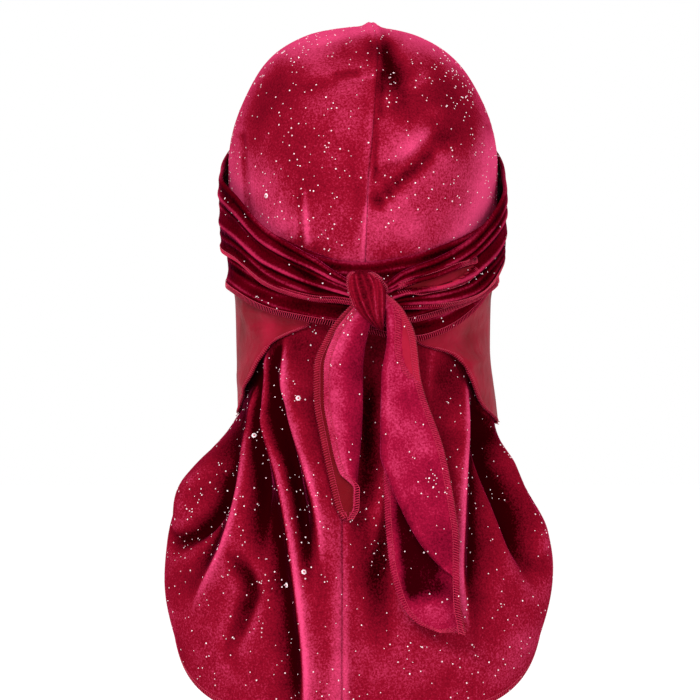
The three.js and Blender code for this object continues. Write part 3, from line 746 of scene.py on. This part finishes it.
def shell(name, point, thickness, materials, flip=False, reverse=None, shading_and_mottle=0.0):
    """A closed cloth wall from a grid: outer face, inner face and rim, with lengths as its UV map."""
    normal = grid_normals(point)
    if flip:
        normal = -normal
    tall, wide = point.shape[:2]
    half = np.asarray(thickness) / 2 * np.ones((tall, wide))
    outer = point + normal * half[..., None]
    inner = point - normal * half[..., None]
    places = np.concatenate([outer.reshape(-1, 3), inner.reshape(-1, 3)]) * MM
    index = np.arange(tall * wide).reshape(tall, wide)
    front = np.stack([index[:-1, :-1], index[:-1, 1:], index[1:, 1:], index[1:, :-1]], -1).reshape(-1, 4)
    rear = front[:, ::-1] + tall * wide
    loop = np.concatenate([index[0, :], index[1:, -1], index[-1, -2::-1], index[-2:0:-1, 0]])
    after = np.roll(loop, -1)
    rim = np.stack([after, loop, loop + tall * wide, after + tall * wide], -1)
    faces = np.concatenate([front, rear, rim])
    if flip:
        faces = faces[:, ::-1]
    shown = np.zeros(len(front)) if reverse is None else reverse[:-1, :-1].ravel()
    slots = np.concatenate([shown, np.ones(len(rear)), np.zeros(len(rim))]).astype(int)
    across = np.linalg.norm(np.diff(point, axis=1), axis=-1)
    down = np.linalg.norm(np.diff(point, axis=0), axis=-1)
    u = np.concatenate([np.zeros((tall, 1)), np.cumsum(across, axis=1)], axis=1)
    v = np.concatenate([np.zeros((1, wide)), np.cumsum(down, axis=0)], axis=0)
    uv = np.tile(np.stack([u, v], -1).reshape(-1, 2) * MM, (2, 1))
    made = solid(name, places, faces, materials, slots, uv)
    # The tone on both faces is painted shade in hollows and painted highlight on crests, plus the painted
    # light and random tone the piece adds.
    tone = np.tile((relief_shading(point, normal) + shading_and_mottle).ravel(), 2)
    made.data.attributes.new("tone", "FLOAT", "POINT").data.foreach_set("value", tone.astype(np.float32))
    return made


def solid(name, places, faces, materials, slots=None, uv=None, smooth=True):
    """A mesh object at the origin from points in metres and faces of one size."""
    mesh = bpy.data.meshes.new(name)
    corners = faces.shape[1]
    mesh.vertices.add(len(places))
    mesh.vertices.foreach_set("co", places.astype(np.float32).ravel())
    mesh.loops.add(faces.size)
    mesh.loops.foreach_set("vertex_index", faces.astype(np.int32).ravel())
    mesh.polygons.add(len(faces))
    mesh.polygons.foreach_set("loop_start", np.arange(0, faces.size, corners, dtype=np.int32))
    for material in materials:
        mesh.materials.append(material)
    if slots is not None:
        mesh.polygons.foreach_set("material_index", slots.astype(np.int32))
    if uv is not None:
        layer = mesh.uv_layers.new(name="cloth")
        layer.data.foreach_set("uv", uv[faces.ravel()].astype(np.float32).ravel())
    mesh.polygons.foreach_set("use_smooth", np.full(len(faces), smooth))
    mesh.update(calc_edges=True)
    mesh.validate()
    made = bpy.data.objects.new(name, mesh)
    bpy.context.collection.objects.link(made)
    return made


def linear(colour):
    """An sRGB hex colour as linear red, green, blue and alpha."""
    parts = [int(colour[i : i + 2], 16) / 255 for i in (0, 2, 4)]
    return [c / 12.92 if c <= 0.04045 else ((c + 0.055) / 1.055) ** 2.4 for c in parts] + [1.0]


def node(tree, kind, settings=None, links=None):
    """Adds a node: settings go to its properties or sockets, and links to its sockets, by name or place."""
    made = tree.nodes.new(kind)
    for key, value in (settings or {}).items():
        if isinstance(key, str) and key not in made.inputs:
            setattr(made, key, value)
        else:
            made.inputs[key].default_value = value
    for key, source in (links or {}).items():
        tree.links.new(source, made.inputs[key])
    return made


def new_material(name, settings):
    """An empty material with its output, a shader with its settings, and Object coordinates."""
    material = bpy.data.materials.new(name)
    material.use_nodes = True
    tree = material.node_tree
    tree.nodes.clear()
    shader = node(tree, "ShaderNodeBsdfPrincipled", settings)
    output = node(tree, "ShaderNodeOutputMaterial")
    tree.links.new(shader.outputs[0], output.inputs[0])
    place = node(tree, "ShaderNodeTexCoord")
    return material, tree, shader, place


def noise(tree, place, scale, detail, **more):
    """Noise on Object coordinates: its value."""
    settings = {"Scale": scale, "Detail": detail, **more}
    return node(tree, "ShaderNodeTexNoise", settings, {"Vector": place.outputs["Object"]}).outputs[0]


def scaled(tree, value, factor, rest, clamp=False):
    """A value times a factor, plus a number or another value."""
    settings = {"operation": "MULTIPLY_ADD", "use_clamp": clamp, 1: factor}
    links = {0: value}
    (settings if isinstance(rest, float) else links)[2] = rest
    return node(tree, "ShaderNodeMath", settings, links).outputs[0]


def bump(tree, height, strength, distance, below=None):
    """A bump by a height over another bump: its normal."""
    links = {"Height": height}
    if below is not None:
        links["Normal"] = below
    return node(tree, "ShaderNodeBump", {"Strength": strength, "Distance": distance}, links).outputs[0]


def stored_shading(tree):
    """The cloth's stored tone at a point: painted highlight and shade, with random variation."""
    return node(tree, "ShaderNodeAttribute", {"attribute_name": "tone"}).outputs["Fac"]


def two_colours(tree, shader, share, dark, light):
    """Mixes two colours by a pattern into the shader's base colour."""
    mix = node(tree, "ShaderNodeMix", {"data_type": "RGBA"})
    tree.links.new(share, mix.inputs[0])
    mix.inputs[6].default_value = linear(dark)
    mix.inputs[7].default_value = linear(light)
    tree.links.new(mix.outputs[2], shader.inputs["Base Color"])


def stretch_velvet(name, deep, mid, bright, sheen):
    """Stretch velvet, a knit with a short cut pile: its colour runs from deep to bright with the stored
    painted shade and highlight, grain and patches.
    """
    settings = {
        "Roughness": 0.8,
        "Specular IOR Level": 0.0,
        "Sheen Weight": 0.28,
        "Sheen Roughness": 0.20,
        "Sheen Tint": linear(sheen),
    }
    material, tree, shader, place = new_material(name, settings)
    patches = noise(tree, place, 34.0, 5.0)
    # The grain is coarser than the real pile, whose fibres are too fine to draw over the whole cloth
    grain = noise(tree, place, 900.0, 2.0, Roughness=0.7)
    tufts = noise(tree, place, 260.0, 3.0)
    shading_and_grain = scaled(tree, stored_shading(tree), 0.32, scaled(tree, grain, 0.52, scaled(tree, patches, 0.26, 0.10)))
    ramp = node(tree, "ShaderNodeValToRGB", {}, {"Fac": shading_and_grain})
    stops = ramp.color_ramp.elements
    stops[0].position, stops[0].color = 0.14, linear(deep)
    stops[1].position, stops[1].color = 0.84, linear(bright)
    middle = stops.new(0.50)
    middle.color = linear(mid)
    tree.links.new(ramp.outputs[0], shader.inputs["Base Color"])
    clumps = bump(tree, tufts, 0.4, 0.0010, bump(tree, grain, 0.5, 0.0004))
    tree.links.new(bump(tree, patches, 0.6, 0.0040, clumps), shader.inputs["Normal"])
    return material


def knit_reverse(name, dark, light):
    """The velvet's reverse, a smooth warp knit: fine upright ribs and a soft satin gloss."""
    settings = {
        "Roughness": 0.5,
        "Specular IOR Level": 0.03,
        "Sheen Weight": 0.02,
        "Sheen Roughness": 0.4,
        "Sheen Tint": linear("E0506C"),
    }
    material, tree, shader, place = new_material(name, settings)
    wave = {"Scale": 420.0, "Distortion": 0.6, "Detail": 1.0, "bands_direction": "X"}
    ribs = node(tree, "ShaderNodeTexWave", wave, {"Vector": place.outputs["UV"]}).outputs[0]
    cloudy = noise(tree, place, 45.0, 3.0)
    # The stored painted highlight and shade also lighten and darken the knit.
    two_colours(tree, shader, scaled(tree, stored_shading(tree), 0.6, cloudy, True), dark, light)
    uneven = bump(tree, cloudy, 0.5, 0.006, bump(tree, ribs, 0.18, 0.0003))
    tree.links.new(uneven, shader.inputs["Normal"])
    return material


def polyester_thread(name, dark, light):
    """Textured polyester overlock thread: soft, slightly glossy filaments."""
    settings = {"Roughness": 0.6, "Specular IOR Level": 0.12, "Sheen Weight": 0.05}
    material, tree, shader, place = new_material(name, settings)
    two_colours(tree, shader, noise(tree, place, 900.0, 2.0), dark, light)
    return material


def glitter_foil(name, dark, light):
    """Hot-stamped polyester glitter foil: flat, bright and glossy."""
    material, tree, shader, place = new_material(name, {"Roughness": 0.22})
    two_colours(tree, shader, noise(tree, place, 90.0, 1.0), dark, light)
    return material


# The strap copy is darker than the crown's velvet and the tail copy a little paler: painted shade and
# painted light on one cloth.
VELVET = stretch_velvet("stretch_velvet", "220002", "72081C", "BE3862", "FF3880")
STRAP_VELVET = stretch_velvet("strap_velvet", "140001", "4A000A", "961C3E", "FF3880")
TAIL_VELVET = stretch_velvet("tail_velvet", "240003", "7C0A28", "C43C68", "FF3880")
KNIT = knit_reverse("knit_reverse", "5C040E", "A41836")
THREAD = polyester_thread("overlock_thread", "800422", "BC2048")
FOIL = glitter_foil("silver_foil", "B04868", "FFFFFF")


def keep(piece, node_name, slot, flat, held, area=None, rests_on=(), trim=()):
    """Rides a cloth piece on the body and lets it stand for its node, whose part is hidden."""
    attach(piece, "root")
    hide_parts(node_name)


def stretch_steps(count, power):
    """Shares from 0 to 1, closer together at the start where the power is over one."""
    return np.linspace(0, 1, count) ** power


def tubes(paths, radius, sides=4):
    """Closed thread tubes along many short paths: points and quads, each end capped by one quad."""
    along = unit(np.gradient(paths, axis=1))
    away = unit(np.cross(along, np.array([0.31, 0.52, 0.79])))
    third = np.cross(along, away)
    turn = np.arange(sides) * 2 * math.pi / sides
    ring = away[:, :, None] * np.cos(turn)[:, None] + third[:, :, None] * np.sin(turn)[:, None]
    place = paths[:, :, None] + ring * radius
    many, long = paths.shape[:2]
    index = np.arange(many * long * sides).reshape(many, long, sides)
    side = np.roll(index, -1, axis=2)
    wall = np.stack([index[:, :-1], side[:, :-1], side[:, 1:], index[:, 1:]], -1).reshape(-1, 4)
    caps = np.concatenate([index[:, 0, ::-1], index[:, -1]]).reshape(-1, 4)
    return place.reshape(-1, 3), np.concatenate([wall, caps])


def along_path(path, step):
    """Even places along a path: the rows to read and how far between them."""
    length = np.concatenate([[0], np.cumsum(np.linalg.norm(np.diff(path, axis=0), axis=1))])
    places = np.arange(step / 2, length[-1], step)
    row = np.clip(np.searchsorted(length, places) - 1, 0, len(path) - 2)
    share = (places - length[row]) / np.maximum(length[row + 1] - length[row], 1e-9)
    return row, share[:, None]


def overlock(edge, inner, normal, half):
    """Overlock stitches over one hem: rungs that wrap the edge, and a needle line inside on both faces."""
    row, share = along_path(edge, STITCH_PITCH)

    def at(values):
        return values[row] * (1 - share) + values[row + 1] * share

    place = at(edge)
    inward = unit(at(inner) - place)
    out = unit(at(normal))
    ahead = unit(np.gradient(place, axis=0))
    top = half + THREAD_RADIUS * 0.6
    slant = ahead * STITCH_PITCH * 0.8
    stations = (
        place + inward * HEM_BAND + out * top,
        place + inward * HEM_BAND * 0.5 + out * (top + 0.12) + slant * 0.5,
        place + inward * 0.2 + out * top + slant,
        place - inward * 0.3 + slant * 1.3,
        place + inward * 0.2 - out * top + slant,
        place + inward * HEM_BAND - out * top,
    )
    rungs = np.stack(stations, axis=1)
    lines = []
    for side in (1, -1):
        start = place + inward * HEM_BAND + out * top * side
        stop = start + ahead * STITCH_PITCH * 0.8
        lines.append(np.stack([start, (start + stop) / 2 + out * 0.15 * side, stop], axis=1))
    needle = np.concatenate(lines)
    first, first_faces = tubes(rungs, THREAD_RADIUS)
    second, second_faces = tubes(needle, THREAD_RADIUS)
    return np.concatenate([first, second]), np.concatenate([first_faces, second_faces + len(first)])


def join_parts(parts):
    """Several point and face arrays as one."""
    offset = np.cumsum([0] + [len(places) for places, faces in parts[:-1]])
    faces = np.concatenate([faces + start for (places, faces), start in zip(parts, offset)])
    return np.concatenate([places for places, faces in parts]), faces


def add_trim(name, parts, material):
    """One joined mesh of small things on a cloth piece."""
    places, faces = join_parts(parts)
    piece = solid(name, places * MM, faces, [material])
    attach(piece, "root")
    return piece


def grid_edges(point, normal, names):
    """The named edges of a grid as triples: the edge, the line beside it and the normals."""
    picks = {
        "first": (point[:, 0], point[:, 3], normal[:, 0]),
        "last": (point[:, -1], point[:, -4], normal[:, -1]),
        "top": (point[0], point[3], normal[0]),
        "bottom": (point[-1], point[-4], normal[-1]),
    }
    return [picks[name] for name in names]


def scatter(point, normal, count, half, seed, clump=0.45):
    """Random places on a grid by area, part of them in loose clusters, with the normals there."""
    source = np.random.default_rng(seed)
    tall, wide = point.shape[:2]
    corner = point[:-1, :-1]
    cell = np.linalg.norm(np.cross(point[1:, :-1] - corner, point[:-1, 1:] - corner), axis=-1)
    weight = cell.ravel() / cell.sum()
    loose = int(count * (1 - clump))
    picks = source.choice(weight.size, size=loose, p=weight)
    row, line = np.divmod(picks, wide - 1)
    hearts = source.choice(weight.size, size=max(1, count // 14), p=weight)
    heart = source.choice(hearts, size=count - loose)
    heart_row, heart_line = np.divmod(heart, wide - 1)
    heart_row = heart_row + np.round(source.normal(0, tall * 0.018, heart.size)).astype(int)
    heart_line = heart_line + np.round(source.normal(0, wide * 0.04, heart.size)).astype(int)
    row = np.concatenate([row, heart_row])
    line = np.concatenate([line, heart_line])
    keep = (row >= 0) & (row < tall - 1) & (line >= 0) & (line < wide - 1)
    row, line = row[keep], line[keep]
    a, b = source.uniform(0, 1, (2, row.size))
    a, b = a[:, None], b[:, None]
    place = (point[row, line] * (1 - a) + point[row + 1, line] * a) * (1 - b)
    place = place + (point[row, line + 1] * (1 - a) + point[row + 1, line + 1] * a) * b
    out = normal[row, line]
    return place + out * (half + 0.12), out


def discs(place, out, radius, seed):
    """Thin six-sided glitter dots lying on the cloth: points and quads, closed all round."""
    source = np.random.default_rng(seed)
    across = unit(np.cross(out, source.normal(size=out.shape)))
    other = np.cross(out, across)
    turn = np.arange(6) * math.pi / 3
    ring = across[:, None] * np.cos(turn)[:, None] + other[:, None] * np.sin(turn)[:, None]
    ring = ring * np.broadcast_to(radius, len(place))[:, None, None]
    upper = place[:, None] + ring + out[:, None] * 0.08
    lower = place[:, None] + ring - out[:, None] * 0.12
    points_all = np.stack([upper, lower], axis=1).reshape(-1, 3)
    index = np.arange(len(place) * 12).reshape(-1, 2, 6)
    top, low = index[:, 0], index[:, 1]
    side = np.stack([low, np.roll(low, -1, 1), np.roll(top, -1, 1), top], -1).reshape(-1, 4)
    caps = [top[:, [0, 1, 2, 3]], top[:, [0, 3, 4, 5]], low[:, [3, 2, 1, 0]], low[:, [5, 4, 3, 0]]]
    return points_all, np.concatenate([side, *caps])


def trimmed(name, point, half, flip, edges, count, seed, more=(), sequins=0):
    """A cloth piece's stitches and glitter, laid out from its grid."""
    normal = grid_normals(point)
    if flip:
        normal = -normal
    hems = grid_edges(point, normal, edges) + list(more)
    stitches = [overlock(edge, inner, out, half) for edge, inner, out in hems]
    made = [add_trim(name + "_stitches", stitches, THREAD)]
    place, out = scatter(point, normal, count, half, seed)
    radius = np.random.default_rng(seed + 1).choice(DOT_RADII, size=len(place), p=DOT_SHARES)
    made.append(add_trim(name + "_glitter", [discs(place, out, radius, seed + 2)], FOIL))
    if sequins:
        place, out = scatter(point, normal, sequins, half, seed + 3, clump=0.0)
        rims = [discs(place, out, SEQUIN_RADIUS, seed + 4)]
        made.append(add_trim(name + "_sequins", rims, FOIL))
        hearts = [discs(place + out * 0.12, out, SEQUIN_HOLE, seed + 5)]
        made.append(add_trim(name + "_sequin_hearts", hearts, THREAD))
    return made


def add_panel(side, name):
    """One half of the crown and cape in one cloth, velvet out and knit in."""
    main = np.concatenate([-stretch_steps(5, 1.0)[:0:-1], stretch_steps(136, 1.05)])
    columns = np.concatenate([main, 1 + stretch_steps(17, 1.15)[1:]])
    rows = np.concatenate([np.linspace(0, 1, 101), 1 + stretch_steps(161, 1.1)[1:]])
    across, down = np.meshgrid(columns, rows)
    point = panel_points(side, np.maximum(across, 0), down)
    inward = grid_normals(point[:, 4:])[:, 0] * side
    allowance = SEAM_ALLOWANCE * np.maximum(-across, 0)
    point = point + inward[:, None] * (allowance + 0.4 * (across <= 0))[..., None]
    flip = side > 0
    low = ease(down, 0.96, 1.04)
    # Painted light: a paler edge and strokes of highlight and shade on the crown, crest highlights with
    # shade beside them and under the neck on the cape, with random tone, none on the margins.
    shade_and_tone = cape_painted_light(unpleated(side, across, down), np.maximum(down - 1, 0))
    shading_and_mottle = crown_painted_light(point) * (1 - low) + shade_and_tone * low
    shading_and_mottle = shading_and_mottle + 0.15 * waves(point[..., 0], point[..., 2], 5, 50, 4)
    shading_and_mottle = shading_and_mottle * (1 - ease(across, 1.1, 1.3))
    piece = shell(name, point, CLOTH, [VELVET, KNIT], flip=flip, shading_and_mottle=shading_and_mottle)
    seed = 20 + side
    cloth, edges = point[:, 4:], ["last", "bottom"]
    trim = trimmed(name, cloth, CLOTH / 2, flip, edges, 1100, seed, sequins=12)
    keep(piece, name, "glitter_velvet", flat=(0.19, 0.62), held="draped", area=0.085, trim=trim)


def add_strap(strap, name, flip):
    """One whole strap, from its seam at the side round to the knot."""
    route, fold_rows, opened = strap
    across, along = np.meshgrid(np.linspace(0, 1, 65), np.linspace(0, 1, 451))
    point = strap_points(strap, across, along)
    reverse, more = None, []
    if opened:
        span = route["turn"][-1] - route["turn"][0]
        low, high = open_fold(route["turn"][0] + span * along)
        reverse = (across > low) & (across < high)
        run = (np.linspace(FOLD_FROM - 1, FOLD_TO + 1, 60) - route["turn"][0]) / span
        top, low_edge = open_fold(route["turn"][0] + span * run)
        more = [strap_line(strap, top - 0.01, run, -0.08), strap_line(strap, low_edge + 0.01, run, 0.08)]
    # Painted highlight on each fold and painted shade under it, over random tone.
    shade_and_tone = strap_tone_and_shading(fold_rows, across, along)
    piece = shell(name, point, STRAP_CLOTH, [STRAP_VELVET, KNIT], flip=flip, reverse=reverse, shading_and_mottle=shade_and_tone)
    trim = trimmed(name, point, STRAP_CLOTH / 2, flip, ["last"], 130, 31 + flip, more)
    keep(piece, name, "strap_velvet", flat=(0.07, 0.68), held="gathered", area=0.032, trim=trim)


def tail_back(z):
    """How far behind the form's middle a tail hangs: clear of the knot, then resting on the cape."""
    level = np.clip((-z - CAPE_TOP) / CAPE_LENGTH, 0, 1)
    cape_back = CAPE_DEPTH * cape("back", level)
    resting = PLEAT_HEIGHT + CLOTH + CLEARANCE
    return -cape_back - (TAIL_OUT + (resting - TAIL_OUT) * ease(level, 0.09, 0.34))


def tail_lines(rows, width, down):
    """A tail's three lines: the back ply's edge, the fold and the front ply's edge."""
    return [width * column(rows, "level", name, down) for name in ("back", "fold", "front")]


def left_tail_points(across, down):
    """The left tail: a back ply, a fold at its right and a front ply part of the way back."""
    z = -TAIL_TOP - LEFT_TAIL_LENGTH * down
    back, fold, front = tail_lines(LEFT_TAIL, LEFT_TAIL_WIDTH, down)
    x = np.where(across < 0.5, back + (fold - back) * 2 * across, fold + (front - fold) * (2 * across - 1))
    return points(x, tail_back(z) - TAIL_GAP * ease(across, 0.42, 0.58), z)


def right_tail_points(across, down):
    """The right tail: a back ply, a middle ply and a front ply, folded right and then left."""
    z = -TAIL_TOP - RIGHT_TAIL_LENGTH * down
    root = KNOT_HALF_WIDTH * 0.75
    back, fold, front = (root + line for line in tail_lines(RIGHT_TAIL, RIGHT_TAIL_WIDTH, down))
    ply = 3 * across
    x = back + (front - back) * np.minimum(1, ply)
    x = np.where(ply > 1, front + (fold - front) * np.minimum(1, ply - 1), x)
    x = np.where(ply > 2, fold + (front - fold) * (ply - 2), x)
    layer = ease(across, 0.28, 0.39) + ease(across, 0.61, 0.72)
    return points(x, tail_back(z) - TAIL_GAP * (layer - 1), z)


def turned_back(down):
    """Where the right tail's top is turned back to its reverse: the share across at which that starts."""
    return 1 - 0.17 * np.sin(math.pi * np.clip((down + 0.03) / 0.26, 0, 1))


def add_tails():
    """Both free ends, folded as they hang from the knot."""
    across, down = np.meshgrid(np.linspace(0, 1, 65), np.linspace(-0.1, 1, 141))
    left = left_tail_points(across, down)
    # Painted shade on the left tail's back ply, darkest at its tip, and a front ply paler towards its edge,
    # over random tone.
    shade_and_tone = ease(across, 0.5, 0.62) * (0.9 * ease(across, 0.56, 0.86) + 0.35) - 0.8
    shade_and_tone = shade_and_tone - 0.5 * ease(down, 0.78, 0.88) * (across < 0.5)
    shade_and_tone = shade_and_tone + 0.25 * waves(left[..., 0], left[..., 2], 8, 30, 3)
    piece = shell("left_tail", left, CLOTH, [TAIL_VELVET, KNIT], shading_and_mottle=shade_and_tone)
    trim = trimmed("left_tail", left, CLOTH / 2, False, ["first", "last", "bottom"], 60, 41)
    keep(piece, "left_tail", "strap_velvet", flat=(0.04, 0.116), held="hung", area=0.0038, trim=trim)
    across, down = np.meshgrid(np.linspace(0, 1, 97), np.linspace(-0.06, 1, 151))
    right = right_tail_points(across, down)
    # Painted shadow in the right tail's hollow between plies, a painted dark line at the fold, and the
    # front ply darker lower down, over random tone.
    hollow = ease(across, 0.02, 0.08) * (1 - ease(across, 0.20, 0.34))
    hollow = hollow * ease(down, 0.40, 0.50) * (1 - ease(down, 0.86, 0.93))
    shade_and_tone = 0.3 * waves(right[..., 0], right[..., 2], 6, 36, 3) - 1.3 * hollow
    shade_and_tone = shade_and_tone - 0.5 * bell((across - 0.67) / 0.03) - 0.35 * ease(down, 0.5, 0.72) * (across > 0.66)
    cloths = [TAIL_VELVET, KNIT]
    turned = (across > turned_back(down)) & (down < 0.22)
    piece = shell("right_tail", right, CLOTH, cloths, flip=True, reverse=turned, shading_and_mottle=shade_and_tone)
    run = np.linspace(-0.01, 0.21, 60)
    start = turned_back(run) - 0.01
    toward = np.tile(np.array([0.0, -1.0, 0.0]), (60, 1))
    more = [(right_tail_points(start, run), right_tail_points(start - 0.05, run), toward)]
    edges = ["first", "last", "bottom"]
    trim = trimmed("right_tail", right, CLOTH / 2, True, edges, 110, 43, more)
    keep(piece, "right_tail", "strap_velvet", flat=(0.1, 0.18), held="hung", area=0.0115, trim=trim)


def add_knot():
    """The knot: rings from its sections, with sharp lengthwise folds on the side that shows."""
    around, level = np.meshgrid(np.linspace(0, 2 * math.pi, 161)[:-1], np.linspace(0, 1, 97))
    centre = KNOT_HALF_WIDTH * column(KNOT, "level", "centre", level)
    half = KNOT_HALF_WIDTH * column(KNOT, "level", "half", level)
    depth = KNOT_DEPTH * column(KNOT, "level", "depth", level)
    z = KNOT_HEIGHT / 2 - KNOT_DROP - KNOT_HEIGHT * level
    behind = CLOTH + 2 * CLEARANCE + STRAP_CLOTH + LAYER_PITCH + 2 * FOLD_RADIUS + FOLD_ROOM + FLARE_ROOM
    back = form_point(form_direction(np.zeros_like(z), z), np.zeros_like(z))[..., 1] - behind
    cosine, sine = np.cos(around), np.sin(around)
    relief = np.zeros_like(z)
    for place, wide, height in zip(*KNOT_FOLDS.values()):
        line = place + 0.10 * np.sin(2.2 * level + 5 * place)
        offset = np.sqrt(((cosine - line) / wide) ** 2 + 0.01) - 0.1
        relief += height * np.exp(-(offset**1.3))
    relief = relief * ease(-sine, 0.0, 0.35) * ease(level, 0.0, 0.12) * (1 - 0.6 * ease(level, 0.75, 1.0))
    grow = 1 + relief / KNOT_HALF_WIDTH * 0.35
    x = centre + half * grow * np.sign(cosine) * np.abs(cosine) ** 0.85
    y = back - depth + depth * np.sign(sine) * np.abs(sine) ** 0.85 - relief
    place = points(x, y, z)
    tall, wide = z.shape
    index = np.arange(tall * wide).reshape(tall, wide)
    side = np.roll(index, -1, axis=1)
    faces = np.stack([index[:-1], index[1:], side[1:], side[:-1]], -1).reshape(-1, 4)
    ends = np.array([place[0].mean(0), place[-1].mean(0)])
    top = np.stack([index[0], side[0], np.full(wide, tall * wide)], -1)
    low = np.stack([side[-1], index[-1], np.full(wide, tall * wide + 1)], -1)
    mesh = bpy.data.meshes.new("knot")
    polygons = faces.tolist() + top.tolist() + low.tolist()
    mesh.from_pydata((np.concatenate([place.reshape(-1, 3), ends]) * MM).tolist(), [], polygons)
    mesh.materials.append(VELVET)
    mesh.polygons.foreach_set("use_smooth", np.full(len(polygons), True))
    # Painted highlight on the knot's folds, darker elsewhere.
    tone = np.concatenate([(relief * 0.55 - 0.85).ravel(), np.zeros(2)]).astype(np.float32)
    mesh.attributes.new("tone", "FLOAT", "POINT").data.foreach_set("value", tone)
    piece = bpy.data.objects.new("knot", mesh)
    bpy.context.collection.objects.link(piece)
    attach(piece, "root")
    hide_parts("knot")
    centre_line = place.mean(axis=1)
    hems = []
    for first, last, start, stop in ((0.565, 0.545, 2, 58), (0.80, 0.97, 3, 34)):
        rows = np.arange(start, stop)
        lines = np.round(np.linspace(first, last, rows.size) * wide).astype(int)
        edge = place[rows, lines]
        inner = place[rows, (lines + 5) % wide]
        hems.append(overlock(edge, inner, unit(edge - centre_line[rows]), 0.3))
    add_trim("knot_stitches", hems, THREAD)


def studio():
    """A pale floor in a white surround, soft lights and a long lens level with the durag's middle."""
    scene = bpy.context.scene
    corners = [(-9, -9), (9, -9), (9, 9), (-9, 9)]
    places = np.array([(x, y, FLOOR_LEVEL * MM) for x, y in corners])
    paper = bpy.data.materials.new("floor_paper")
    paper.use_nodes = True
    shader = paper.node_tree.nodes["Principled BSDF"]
    shader.inputs["Base Color"].default_value = linear("FFFFFF")
    shader.inputs["Roughness"].default_value = 1.0
    shader.inputs["Specular IOR Level"].default_value = 0.0
    solid("floor", places, np.array([[0, 1, 2, 3]]), [paper])
    world = bpy.data.worlds.new("studio")
    scene.world = world
    world.use_nodes = True
    world.node_tree.nodes["Background"].inputs[0].default_value = linear("FFFFFF")
    world.node_tree.nodes["Background"].inputs[1].default_value = 1.0
    for name, place, target, size, power in (
        ("key", (-0.9, -2.1, 1.2), (0, 0, -0.15), 0.8, 60),
        ("fill", (1.5, -1.6, 0.2), (0, 0, -0.2), 0.9, 14),
    ):
        light = bpy.data.lights.new(name, "AREA")
        light.size = size
        light.energy = power
        lamp = bpy.data.objects.new(name, light)
        lamp.location = place
        lamp.rotation_euler = (Vector(target) - Vector(place)).to_track_quat("-Z", "Y").to_euler()
        bpy.context.collection.objects.link(lamp)
    lens = bpy.data.cameras.new("camera")
    camera = bpy.data.objects.new("camera", lens)
    bpy.context.collection.objects.link(camera)
    lens.sensor_width = 36.0
    lens.lens = lens.sensor_width * (CAMERA_DISTANCE - PICTURE_PLANE) / (PHOTO_PIXELS * PIXEL)
    camera.location = (CAMERA_SIDE * MM, -CAMERA_DISTANCE * MM, CAMERA_LEVEL * MM)
    camera.rotation_euler = (math.radians(90), 0, 0)
    scene.camera = camera
    scene.view_settings.view_transform = "Standard"


studio()
add_panel(-1, "left_panel")
add_panel(1, "right_panel")
add_strap((LEFT_ROUTE, LEFT_FOLDS, False), "left_strap", flip=False)
add_strap((RIGHT_ROUTE, RIGHT_FOLDS, True), "right_strap", flip=True)
add_knot()
add_tails()
